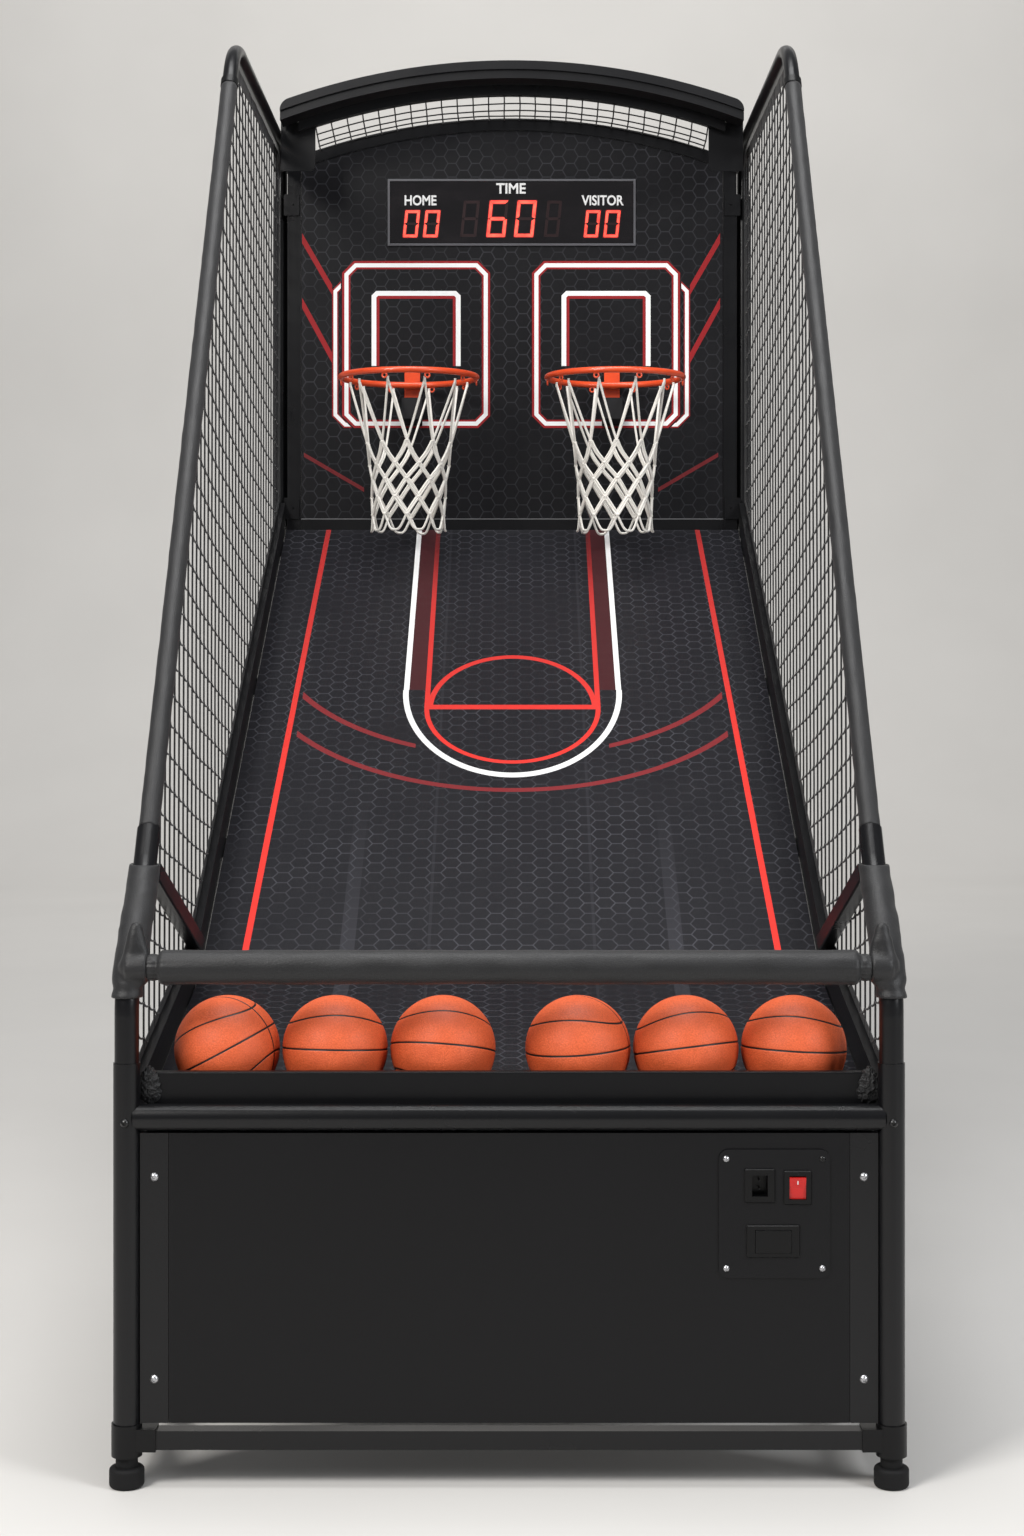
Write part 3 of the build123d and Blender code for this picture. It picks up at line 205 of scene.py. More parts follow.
class Paint:
    """A material and its surface shader."""

    def __init__(self, name, **constants):
        self.material = bpy.data.materials.new(name)
        self.material.use_nodes = True
        self.tree = self.material.node_tree
        self.tree.nodes.clear()
        self.shader = self.node("ShaderNodeBsdfPrincipled")
        output = self.node("ShaderNodeOutputMaterial")
        self.tree.links.new(self.shader.outputs[0], output.inputs["Surface"])
        for key, value in constants.items():
            self.put(key.replace("_", " "), value)

    def node(self, kind, choices=None, inputs=None):
        made = self.tree.nodes.new(kind)
        for key, value in (choices or {}).items():
            if key == "stops":
                for i, (place, colour) in enumerate(value):
                    stops = made.color_ramp.elements
                    stop = stops[i] if i < len(stops) else stops.new(place)
                    stop.position = place
                    stop.color = colour
            else:
                setattr(made, key, value)
        for key, value in (inputs or {}).items():
            self.feed(made.inputs[key], value)
        return made

    def feed(self, socket, value):
        if isinstance(value, Wire):
            value = value.socket
        if isinstance(value, bpy.types.NodeSocket):
            self.tree.links.new(value, socket)
        else:
            socket.default_value = value

    def put(self, name, value):
        self.feed(self.shader.inputs[name], value)

    def place(self):
        return self.node("ShaderNodeTexCoord").outputs["Object"]

    def facing(self, axis):
        """How far the surface faces along an axis of the object, -1 to 1."""
        return self.split(self.node("ShaderNodeTexCoord").outputs["Normal"])[axis]

    def attribute(self, name):
        return self.node("ShaderNodeAttribute", {"attribute_name": name})

    def split(self, vector):
        parts = self.node("ShaderNodeSeparateXYZ", None, {0: vector})
        return [Wire(self, parts.outputs[i]) for i in range(3)]

    def stretched(self, vector, scale):
        made = self.node("ShaderNodeMapping", None, {"Vector": vector, "Scale": scale})
        return made.outputs[0]

    def grain(self, scale, detail=3.0, vector=None, rough=0.5):
        made = self.node("ShaderNodeTexNoise", None, {
            "Vector": vector or self.place(), "Scale": scale, "Detail": detail,
            "Roughness": rough})
        return Wire(self, made.outputs["Fac"])

    def cells(self, scale, vector=None, feature="F1"):
        made = self.node("ShaderNodeTexVoronoi", {"feature": feature}, {
            "Vector": vector or self.place(), "Scale": scale})
        return Wire(self, made.outputs["Distance"])

    def over(self, under, colour, mask):
        made = self.node("ShaderNodeMix", {"data_type": "RGBA"}, {0: mask, 6: under, 7: colour})
        return made.outputs[2]

    def bump(self, height, distance, strength=1.0, normal=None):
        inputs = {"Height": height, "Distance": distance, "Strength": strength}
        if normal is not None:
            inputs["Normal"] = normal
        made = self.node("ShaderNodeBump", None, inputs)
        self.put("Normal", made.outputs[0])
        return made.outputs[0]


def hexagons(x, y, line):
    """Mask of a honeycomb's lines, from two coordinates in mm."""
    def cell(sideways, upward):
        across = abs((x + sideways) % (2 * HEX_COLUMN) - HEX_COLUMN)
        along = abs((y + upward) % HEX_ROW - HEX_ROW / 2)
        return along.either(across * (math.sqrt(3) / 2) + along * 0.5)
    nearest = cell(HEX_COLUMN, HEX_ROW / 2).least(cell(0.0, 0.0))
    return nearest > HEX_ROW / 2 - line / 2


def chamfered(x, z, half_x, half_z, chamfer):
    """Signed distance in mm outside a rectangle with cut corners."""
    across, up = abs(x) - half_x, abs(z) - half_z
    corner = (across + up + chamfer) * math.sqrt(0.5)
    return across.either(up).either(corner)


# ---------------------------------------------------------------- finishes
def plain(name, colour, roughness, *, metallic=0.0, grain=900.0, depth=0.00008, spread=0.06,
          shade=0.86, gloss=0.25, **more):
    """A finish with fine grain, a slightly uneven gloss and a slightly uneven colour."""
    paint = Paint(name, Metallic=metallic, Specular_IOR_Level=gloss, **more)
    cloudy = paint.grain(9.0, 4.0)
    fine = paint.grain(grain, 2.0)
    dark = tuple(channel * shade for channel in colour[:3]) + (1.0,)
    paint.put("Base Color", paint.over(dark, colour, (cloudy - 0.3) * 2.4))
    paint.put("Roughness", (roughness - spread) + cloudy * spread + fine * spread)
    paint.bump(fine, depth)
    return paint


def frame_paint():
    colour = tuple(settings().finish.frame_colour)
    paint = Paint("frame_paint", Specular_IOR_Level=0.34)
    cloudy = paint.grain(5.0, 5.0)
    peel = paint.grain(420.0, 2.0)
    scuff = (paint.grain(60.0, 6.0, paint.stretched(paint.place(), (1, 1, 0.15)), 0.7)
             - 0.66) * 9.0
    worn = paint.over(colour, tone(40, 40, 43), scuff.clipped() * 0.35)
    paint.put("Base Color", paint.over(worn, tone(19, 19, 21), (cloudy - 0.5) * 0.7))
    paint.put("Roughness", 0.22 + cloudy * 0.14 + scuff.clipped() * 0.2)
    paint.bump(peel, 0.00012)
    return paint


def deck_print():
    paint = Paint("deck_print", Specular_IOR_Level=0.25)
    px, py, _ = paint.split(paint.place())
    x = px * 1000.0 - PRINT_CENTRE
    v = py * 1000.0 + 1000 * HALF_BASE
    u = v * DECK_STRETCH
    side = abs(x)
    patch = (paint.grain(7.0, 3.0) - 0.3) * 2.2 + 0.25
    colour = paint.over(PRINT_BLACK, PRINT_GREY, hexagons(x, u, 2.4) * patch.clipped())
    stripe = side.near(268.0, 12.0) * ((1096.0 - v) / 394.0).clipped() * 0.45
    ghost = side.near(135.0, 2.5) * 0.25
    colour = paint.over(colour, PRINT_GREY, stripe.either(ghost))
    colour = paint.over(colour, PRINT_TINT, side.between(163.5, 205.0) * (v > 1443.6) * 0.9)

    def arc(lowest, radius, inner):
        centre = lowest * DECK_STRETCH + radius
        away = (x * x + (u - centre) * (u - centre)).root()
        return away.near(radius, 6.5) * (u < centre) * side.between(inner, 404.0)
    colour = paint.over(colour, PRINT_DARK_RED,
                        arc(1125.2, 510.0, -1.0).either(arc(1229.2, 475.0, 180.0)))

    def oval(centre, half_x, half_u, reach):
        middle = centre * DECK_STRETCH
        a, b = x / half_x, (u - middle) / half_u
        return (a * a + b * b).root().near(1.0, reach)
    edge = (2072.0 - v) * 0.0208 + 404.0
    red = (abs(side - edge) < 5.25) * (v > 690.0)
    fading = 1.0 - ((v - 1750.0) / 314.0).clipped() * 0.8
    lane = side.near(163.5, 4.8) * (v > 1384.0) * fading
    bottom = oval(1384.0, 163.5, 199.0, 0.028) * (v < 1384.0)
    circle = oval(1384.0, 157.5, 200.0, 0.034) * (v > 1384.0)
    bar = v.near(1386.0, 7.4) * x.between(-160.0, 166.0)
    far = ((v - 1150.0) / 1000.0).clipped() * 0.75
    colour = paint.over(colour, paint.over(PRINT_RED, PRINT_DARK_RED, far),
                        red.either(lane).either(bottom).either(circle).either(bar))
    lanes = side.near(205.0, 5.3) * (v > 1443.6)
    end = oval(1443.6, 206.0, 312.5, 0.026) * (v < 1443.6)
    colour = paint.over(colour, PRINT_WHITE, lanes.either(end))
    scuffs = (paint.grain(38.0, 8.0, None, 0.72) - 0.6) * 5.0
    colour = paint.over(colour, tone(92, 90, 90), scuffs.clipped() * 0.14)
    paint.put("Base Color", paint.over(PRINT_BLACK, colour, paint.facing(2) > 0.5))
    paint.put("Roughness", 0.36 + paint.grain(14.0) * 0.14 + scuffs.clipped() * 0.1)
    paint.bump(paint.grain(700.0, 2.0), 0.00006)
    return paint


def backboard_print():
    paint = Paint("backboard_print", Specular_IOR_Level=0.2)
    px, _, pz = paint.split(paint.place())
    x = px * 1000.0 - BOARD_CENTRE
    z = pz * 1000.0
    side = abs(x)
    patch = (paint.grain(6.0, 3.0) - 0.3) * 2.2 + 0.25
    colour = paint.over(BOARD_BLACK, BOARD_GREY, hexagons(x, z, 2.4) * patch.clipped())
    target = side - 208.6
    up = z - 1792.3
    outside = chamfered(target, up, 162.5, 183.4, 26.0)
    shifted = chamfered(target - 22.0, z - 1773.5, 162.5, 164.5, 26.0)

    def stroke(start, end, reach):
        (x0, z0), (x1, z1) = start, end
        slope = (z1 - z0) / (x1 - x0)
        away = abs(z - z0 - (side + x0) * -slope)
        return (away < reach * math.hypot(1, slope)) * side.between(-x1, -x0)
    faint = stroke((-455.0, 1550.0), (-323.0, 1473.0), 4.0) * 0.7
    bold = stroke((-459.0, 2026.0), (-393.0, 1912.0), 5.5)
    low = stroke((-459.0, 1883.5), (-393.0, 1762.7), 5.5)
    beyond = outside > 3.0
    colour = paint.over(colour, PRINT_DARK_RED, faint)
    colour = paint.over(colour, BOARD_RED, bold.either(low))
    colour = paint.over(colour, BOARD_RED, shifted.between(-13.5, 0.0) * beyond)
    colour = paint.over(colour, PRINT_WHITE, shifted.between(-11.0, -3.0) * beyond)
    colour = paint.over(colour, BOARD_RED, outside.between(-18.0, 0.0))
    colour = paint.over(colour, PRINT_WHITE, outside.between(-14.0, -5.0))
    inner = chamfered(target, z - 1790.0, 97.8, 119.8, 10.0)
    open_side = z > 1745.0
    colour = paint.over(colour, BOARD_RED, inner.between(-17.0, 0.0) * open_side)
    colour = paint.over(colour, PRINT_WHITE, inner.between(-10.5, 0.0) * open_side)
    # painted highlight: a pale line along the board's bottom edge, where light catches the edge
    colour = paint.over(colour, tone(108, 108, 110), z < 1410.0)
    paint.put("Base Color", paint.over(BOARD_BLACK, colour, paint.facing(1) < -0.5))
    paint.put("Roughness", 0.34 + paint.grain(11.0) * 0.16)
    paint.bump(paint.grain(700.0, 2.0), 0.00006)
    return paint


def hoop_orange():
    colour = tuple(settings().finish.hoop_colour)
    paint = Paint("hoop_orange", Coat_Weight=0.35, Coat_Roughness=0.12)
    cloudy = paint.grain(24.0, 4.0)
    chips = (paint.grain(150.0, 5.0, None, 0.7) - 0.68) * 12.0
    base = paint.over(colour, tone(196, 56, 22), (cloudy - 0.4) * 1.6)
    paint.put("Base Color", paint.over(base, tone(72, 60, 54), chips.clipped() * 0.5))
    paint.put("Roughness", 0.26 + cloudy * 0.14 + chips.clipped() * 0.3)
    paint.bump(paint.grain(380.0, 2.0), 0.0001)
    return paint


def ball_rubber():
    """Pebbled rubber with black seams and painted shade between the pebbles, laid out from the
    ball's own directions.
    """
    colour = tuple(settings().finish.ball_colour)
    paint = Paint("ball_rubber", Specular_IOR_Level=0.45)
    facing = paint.attribute("facing").outputs["Vector"]
    nx, ny, nz = paint.split(facing)
    curved = abs(abs(nx) - 0.46 - ny * ny * 0.30)
    away = abs(nx).least(abs(ny)).least(curved)
    seam = 1.0 - ((away - 0.015) / 0.006).clipped()
    pebble = paint.cells(38.0, facing, "SMOOTH_F1")
    cloudy = paint.grain(3.2, 5.0, facing)
    base = paint.over(colour, tone(206, 84, 42), (cloudy - 0.42) * 1.9)
    # painted shade: the rubber is darker in the gaps between the pebbles
    pebble_gap_shade = paint.over(tone(204, 88, 46), base, (1.25 - pebble * 1.6).clipped())
    paint.put("Base Color", paint.over(pebble_gap_shade, tone(24, 22, 22), seam))
    paint.put("Roughness", 0.50 + cloudy * 0.14 - seam * 0.1)
    height = (1.0 - pebble * 1.7).clipped() * (1.0 - seam)
    paint.bump(height, 0.0003, 0.8)
    return paint


def braided(name, colour, shade, pitch, depth):
    """Braided cord, laid out along and round each cord."""
    paint = Paint(name, Specular_IOR_Level=0.25, Sheen_Weight=0.25, Sheen_Roughness=0.5)
    along = Wire(paint, paint.attribute("along").outputs["Fac"])
    around = Wire(paint, paint.attribute("around").outputs["Fac"])
    turn = around * (2 * math.pi * 2)
    run = along * (2 * math.pi / pitch)
    plait = ((run + turn).sine() * (run - turn).sine() + 1.0) * 0.5
    fuzz = paint.grain(1400.0, 3.0)
    cloudy = paint.grain(12.0, 3.0)
    paint.put("Base Color", paint.over(paint.over(colour, shade, plait * 0.55), shade,
                                       (cloudy - 0.5) * 0.9))
    paint.put("Roughness", 0.74 + fuzz * 0.18)
    paint.bump(plait + fuzz * 0.5, depth)
    return paint


def cover_fabric():
    """Coated black cloth: a fine leather-like grain, with glossier specks that are also painted
    lighter as a speckled highlight.
    """
    paint = Paint("pad_fabric", Specular_IOR_Level=0.45, Sheen_Weight=0.08,
                  Sheen_Roughness=0.6)
    grain = paint.cells(520.0, None, "SMOOTH_F1")
    weave = paint.grain(900.0, 2.0)
    cloudy = paint.grain(16.0, 5.0)
    speck_gloss_and_painted_glint = (paint.grain(650.0, 3.0, None, 0.7) - 0.52) * 4.0
    base = paint.over(tone(11, 11, 13), tone(21, 21, 23), (cloudy - 0.35) * 1.6)
    # painted highlight: lighter specks in the colour; the same specks are also less rough
    paint.put("Base Color", paint.over(base, tone(52, 52, 56), speck_gloss_and_painted_glint.clipped() * 0.45))
    paint.put("Roughness", 0.42 + cloudy * 0.22 - speck_gloss_and_painted_glint.clipped() * 0.12)
    paint.bump(grain * 0.8 + weave * 0.6, 0.00035)
    return paint


def display_window():
    paint = Paint("display_window", Specular_IOR_Level=0.6, Coat_Weight=0.6)
    smear = (paint.grain(9.0, 6.0, paint.stretched(paint.place(), (1, 1, 2.5)), 0.6) - 0.45)
    paint.put("Base Color", paint.over(tone(14, 11, 13), tone(24, 20, 22),
                                       (smear * 3.0).clipped()))
    paint.put("Roughness", 0.07 + smear.clipped() * 0.3)
    return paint


def glowing(name, colour, edge, power):
    """Light of a score digit, a little uneven from segment to segment."""
    paint = Paint(name, Roughness=0.4, Emission_Strength=power)
    cloudy = paint.grain(60.0, 2.0)
    shine = paint.over(edge, colour, (cloudy - 0.2) * 2.2)
    paint.put("Base Color", shine)
    paint.put("Emission Color", shine)
    return paint


def brushed(name, colour, roughness, stretch):
    """Metal with fine lines along one direction."""
    paint = Paint(name, Metallic=1.0)
    lines = paint.grain(260.0, 4.0, paint.stretched(paint.place(), stretch), 0.7)
    cloudy = paint.grain(20.0, 3.0)
    dark = tuple(channel * 0.6 for channel in colour[:3]) + (1.0,)
    paint.put("Base Color", paint.over(dark, colour, (cloudy * 0.5 + lines * 0.8).clipped()))
    paint.put("Roughness", (roughness - 0.1) + lines * 0.2)
    paint.bump(lines, 0.00003)
    return paint


def screw_steel():
    """Bright screws. The leg bolts and the plate's upper outer screw are black."""
    paint = brushed("screw_steel", tone(205, 205, 208), 0.3, (1, 8, 1))
    px, _, pz = paint.split(paint.place())
    leg = (abs(px) > 0.5) * (pz < 0.6)
    corner = (px > 0.405) * (px < 0.43) * (pz > 0.42) * (pz < 0.46)
    black = leg.either(corner)
    bright = paint.shader.inputs["Base Color"].links[0].from_socket
    paint.put("Base Color", paint.over(bright, tone(16, 16, 17), black))
    paint.put("Metallic", 1.0 - black)
    return paint


def circuit_board():
    paint = Paint("circuit_board", Specular_IOR_Level=0.5, Coat_Weight=0.3)
    tracks = paint.cells(190.0, None, "DISTANCE_TO_EDGE") < 0.07
    cloudy = paint.grain(30.0, 3.0)
    base = paint.over(tone(12, 62, 34), tone(18, 84, 46), cloudy)
    paint.put("Base Color", paint.over(base, tone(60, 132, 70), tracks))
    paint.put("Roughness", 0.35 + cloudy * 0.2)
    paint.bump(tracks, 0.00005)
    return paint


def make_finishes():
    """One material for each material slot of the record."""
    finish = settings().finish
    white_cord = tuple(finish.cord_colour)
    return {
        "frame_paint": frame_paint(),
        "fitting_plastic": plain("fitting_plastic", tone(14, 14, 15), 0.38, grain=700.0),
        "foot_rubber": plain("foot_rubber", tone(22, 22, 23), 0.72, grain=500.0, depth=0.0002),
        "board_black": plain("board_black", tone(14, 14, 16), 0.36, grain=520.0, spread=0.1),
        "deck_print": deck_print(),
        "backboard_print": backboard_print(),
        "plate_plastic": plain("plate_plastic", tone(15, 15, 17), 0.38, grain=1100.0,
                               depth=0.00015),
        "control_plastic": plain("control_plastic", tone(11, 11, 12), 0.32, grain=900.0),
        "rocker_red": plain("rocker_red", tone(200, 26, 22), 0.28, grain=600.0, shade=0.75,
                            Coat_Weight=0.4),
        "screw_steel": screw_steel(),
        "sheet_steel": brushed("sheet_steel", tone(160, 162, 166), 0.38, (1, 1, 12)),
        "circuit_board": circuit_board(),
        "transformer_core": brushed("transformer_core", tone(96, 88, 80), 0.5, (1, 30, 1)),
        "loom_cable": plain("loom_cable", tone(20, 20, 21), 0.5, grain=400.0),
        "display_window": display_window(),
        "display_trim": plain("display_trim", tone(96, 96, 100), 0.35, grain=900.0),
        "digit_red": glowing("digit_red", tuple(finish.digit_colour), tone(226, 40, 32), 1.25),
        "digit_halo": glowing("digit_halo", tone(132, 16, 16), tone(92, 10, 12), 0.5),
        "digit_unlit": plain("digit_unlit", tone(36, 20, 22), 0.4, grain=500.0),
        "word_white": plain("word_white", tone(226, 226, 226), 0.5, grain=500.0),
        "header_plastic": plain("header_plastic", tone(21, 21, 23), 0.38, grain=620.0,
                                depth=0.00012, spread=0.1),
        "hoop_orange": hoop_orange(),
        "sensor_plastic": plain("sensor_plastic", tone(26, 26, 28), 0.5, grain=700.0),
        "hoop_cord": braided("hoop_cord", white_cord, tone(196, 190, 180), 0.0062, 0.0006),
        "net_cord": braided("net_cord", tone(20, 20, 22), tone(9, 9, 10), 0.004, 0.0003),
        "pad_fabric": cover_fabric(),
        "ball_rubber": ball_rubber(),
    }


FINISHES = {}


def wear(obj, slot, material=None):
    """Gives a piece its finish: the given material, or else the one made for the slot."""
    obj.data.materials.clear()
    obj.data.materials.append(FINISHES[material or slot].material)
    return obj


# ---------------------------------------------------------------- mesh helpers
def linked(name, data):
    """A new object in the scene."""
    obj = bpy.data.objects.new(name, data)
    bpy.context.scene.collection.objects.link(obj)
    return obj


def smoothed(mesh):
    for polygon in mesh.polygons:
        polygon.use_smooth = True


def piece(name, vertices, faces, smooth=True):
    """A new mesh object in the scene, its place held in its mesh."""
    mesh = bpy.data.meshes.new(name)
    mesh.from_pydata([tuple(v) for v in vertices], [], faces)
    mesh.update()
    for polygon in mesh.polygons:
        polygon.use_smooth = smooth
    obj = linked(name, mesh)
    return obj


def outward(obj):
    """Merges doubles and turns every face outwards."""
    work = bmesh.new()
    work.from_mesh(obj.data)
    bmesh.ops.remove_doubles(work, verts=work.verts, dist=1e-6)
    bmesh.ops.recalc_face_normals(work, faces=work.faces)
    work.to_mesh(obj.data)
    work.free()
    return obj


def baked(obj):
    """The evaluated object as a plain mesh, with its modifiers gone."""
    graph = bpy.context.evaluated_depsgraph_get()
    mesh = bpy.data.meshes.new_from_object(obj.evaluated_get(graph))
    old = obj.data
    obj.modifiers.clear()
    obj.data = mesh
    if old.users == 0:
        bpy.data.meshes.remove(old)
    return obj


def joined_tube(rings, closed):
    """Vertices and faces of a skin over rings of points, end to end or closed on itself."""
    count = len(rings[0])
    faces = []
    for i in range(len(rings) if closed else len(rings) - 1):
        a, b = i * count, (i + 1) % len(rings) * count
        faces += [(a + k, a + (k + 1) % count, b + (k + 1) % count, b + k)
                  for k in range(count)]
    return [p for ring in rings for p in ring], faces


def lathe_along(origin, axis, profile, sides, push):
    """Closed rings round an axis, from (distance along, radius) pairs. Push moves each point."""
    axis = Vector(axis).normalized()
    across = Vector((1, 0, 0)) if abs(axis.x) < 0.9 else Vector((0, 1, 0))
    upward = axis.cross(across).normalized()
    rings = []
    for along, radius in profile:
        ring = []
        for k in range(sides):
            angle = 2 * math.pi * k / sides
            spoke = across * math.cos(angle) + upward * math.sin(angle)
            ring.append(Vector(origin) + axis * along
                        + spoke * (radius + push(along, angle, radius)))
        rings.append(ring)
    return joined_tube(rings, True)


# ---------------------------------------------------------------- nets
def add_input(group, name, kind, default=None):
    socket = group.interface.new_socket(name=name, in_out="INPUT", socket_type=kind)
    if default is not None:
        socket.default_value = default
    return socket.identifier


def knotted_cord_tree():
    """A node tree that gives edges a round cord and marked points a knot."""
    group = bpy.data.node_groups.new("Knotted cord", "GeometryNodeTree")
    names = {"Cords": add_input(group, "Cords", "NodeSocketGeometry")}
    for name, kind, default in (("Cord Radius", "NodeSocketFloat", 0.002),
                                ("Cord Sides", "NodeSocketInt", 6),
                                ("Knot Radius", "NodeSocketFloat", 0.003),
                                ("Knot Detail", "NodeSocketInt", 1),
                                ("Cord Finish", "NodeSocketMaterial", None)):
        names[name] = add_input(group, name, kind, default)
    group.interface.new_socket(name="Net", in_out="OUTPUT", socket_type="NodeSocketGeometry")

    def make(kind, *feeds, **choices):
        """A node with its settings and, socket by socket, what feeds it."""
        made = group.nodes.new(kind)
        for key, value in choices.items():
            setattr(made, key, value)
        for socket, source in feeds:
            if isinstance(source, bpy.types.NodeSocket):
                group.links.new(source, made.inputs[socket])
            else:
                made.inputs[socket].default_value = source
        return made.outputs

    def stored(name, geometry, value):
        return make("GeometryNodeStoreNamedAttribute", ("Name", name), ("Geometry", geometry),
                    ("Value", value), data_type="FLOAT", domain="POINT")[0]
    given = make("NodeGroupInput")
    curve = make("GeometryNodeMeshToCurve", (0, given["Cords"]))[0]
    path = stored("along", curve, make("GeometryNodeSplineParameter")["Length"])
    circle = make("GeometryNodeCurvePrimitiveCircle", ("Resolution", given["Cord Sides"]),
                  ("Radius", given["Cord Radius"]))[0]
    profile = stored("around", circle, make("GeometryNodeSplineParameter")["Factor"])
    skin = make("GeometryNodeCurveToMesh", ("Fill Caps", True), ("Curve", path),
                ("Profile Curve", profile))[0]
    marked = make("GeometryNodeInputNamedAttribute", ("Name", "knot"), data_type="FLOAT")
    chosen = make("FunctionNodeCompare", ("A", marked["Attribute"]), ("B", 0.5),
                  data_type="FLOAT", operation="GREATER_THAN")[0]
    ball = make("GeometryNodeMeshIcoSphere", ("Radius", given["Knot Radius"]),
                ("Subdivisions", given["Knot Detail"]))["Mesh"]
    knots = make("GeometryNodeInstanceOnPoints", ("Points", given["Cords"]),
                 ("Selection", chosen), ("Instance", ball))[0]
    real = make("GeometryNodeRealizeInstances", (0, knots))[0]
    both = make("GeometryNodeJoinGeometry", (0, skin), (0, real))[0]
    smooth = make("GeometryNodeSetShadeSmooth", (0, both))[0]
    coated = make("GeometryNodeSetMaterial", ("Geometry", smooth),
                  ("Material", given["Cord Finish"]))[0]
    make("NodeGroupOutput", (0, coated))
    return group, names


TREES = {}


def net_piece(name, chains, knots, radius, sides, knot_radius, detail, slot):
    """A net made of cords along the chains, with a knot at each of the knot points."""
    vertices, edges = [], []
    for chain in chains:
        first = len(vertices)
        vertices += [tuple(p) for p in chain]
        edges += [(first + i, first + i + 1) for i in range(len(chain) - 1)]
    loose = len(vertices)
    vertices += [tuple(p) for p in knots]
    mesh = bpy.data.meshes.new(name)
    mesh.from_pydata(vertices, edges, [])
    mark = mesh.attributes.new("knot", "FLOAT", "POINT")
    mark.data.foreach_set("value", [float(i >= loose) for i in range(len(vertices))])
    obj = linked(name, mesh)
    if not TREES:
        TREES["group"], TREES["names"] = knotted_cord_tree()
    modifier = obj.modifiers.new("Cords", "NODES")
    modifier.node_group = TREES["group"]
    for key, value in (("Cord Radius", radius), ("Cord Sides", sides),
                       ("Knot Radius", knot_radius), ("Knot Detail", detail),
                       ("Cord Finish", FINISHES[slot].material)):
        modifier[TREES["names"][key]] = value
    obj.update_tag()
    bpy.context.view_layer.update()
    baked(obj)
    return obj


def smooth_line(points, steps):
    """Points on a smooth line through the given ones."""
    pts = [Vector(p) for p in points]
    line = []
    for i in range(len(pts) - 1):
        a, b = pts[i], pts[i + 1]
        before, after = pts[max(i - 1, 0)], pts[min(i + 2, len(pts) - 1)]
        pull_a, pull_b = (b - before) * 0.5, (after - a) * 0.5
        for k in range(steps):
            t = k / steps
            line.append(a * (2 * t**3 - 3 * t**2 + 1) + pull_a * (t**3 - 2 * t**2 + t)
                        + b * (3 * t**2 - 2 * t**3) + pull_b * (t**3 - t**2))
    return line + [pts[-1]]


def wander(point, reach, scale=9.0):
    """A small fixed drift that differs from place to place."""
    return Vector(noise.noise_vector(Vector(point) * scale)) * reach


HOOP_NET_ROWS = ((1.683, 0.1240), (1.558, 0.0905), (1.512, 0.0830), (1.480, 0.0800),
                 (1.443, 0.0780), (1.406, 0.0785))
HOOP_NET_END = (1.372, 0.0800)
STRAND_GAP = 0.0026         # from the middle of a doubled strand to each of its cords
STRAND_STEPS = 6            # points on a strand from one row to the next
LOOP_SHARE, LOOP_BELLY = 0.55, 0.010    # where a bottom loop is fullest, and how far it hangs
HOOK_TAIL, HOOK_RISE = 0.004, 0.006     # how far a strand goes below and above its hook
HOOP_KNOT, SIDE_KNOT = 1.55, 1.5        # a knot's radius over its cord's


def hoop_net(name, node, slot):
    """Strands from each hook that cross at every row and end in loops."""
    low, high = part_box(node)
    centre = (low + high) / 2
    loops = settings().nets.hoop_loops
    radius = settings().nets.hoop_cord / 2

    def at(row, index):
        z, r = HOOP_NET_ROWS[row]
        angle = 2 * math.pi * (index + row / 2) / loops
        spot = Vector((centre.x + r * math.cos(angle), centre.y + r * math.sin(angle), z))
        return spot if row == 0 else spot + wander(spot, 0.0035)
    last = len(HOOP_NET_ROWS) - 1
    chains, knots = [], []
    for i in range(loops):
        for way in (0, -1):
            nodes = [at(row, i + way * row) for row in range(last + 1)]
            line = smooth_line(nodes, STRAND_STEPS)
            chains.append(line[:STRAND_STEPS + 1])
            for hand in (-1, 1):
                pair = []
                for spot in line[STRAND_STEPS:]:
                    out = Vector((spot.x - centre.x, spot.y - centre.y, 0)).normalized()
                    beside = out.cross(Vector((0, 0, 1))) * hand * STRAND_GAP
                    pair.append(spot + beside)
                chains.append(pair)
        knots += [at(row, i) for row in range(1, last + 1)]
        a, b = at(last, i), at(last, i + 1)
        z, r = HOOP_NET_END
        out = Vector(((a.x + b.x) / 2 - centre.x, (a.y + b.y) / 2 - centre.y, 0)).normalized()
        dip = Vector((centre.x, centre.y, z)) + out * r
        dip += wander(dip, 0.004)
        mids = [c.lerp(dip, LOOP_SHARE) + Vector((0, 0, -LOOP_BELLY)) for c in (a, b)]
        chains.append(smooth_line([a, mids[0], dip, mids[1], b], 5))
        hook = at(0, i)
        chains.append([hook - Vector((0, 0, HOOK_TAIL)), hook + Vector((0, 0, HOOK_RISE))])
    obj = net_piece(name, chains, knots, radius, 8, radius * HOOP_KNOT, 2, slot)
    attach(obj, ROOT)
    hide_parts(node)
    return obj


def resampled(points, step):
    """A closed outline with its points a step apart."""
    out = []
    for a, b in zip(points, points[1:] + points[:1]):
        count = max(1, round((b - a).length / step))
        out += [a.lerp(b, k / count) for k in range(count)]
    return out


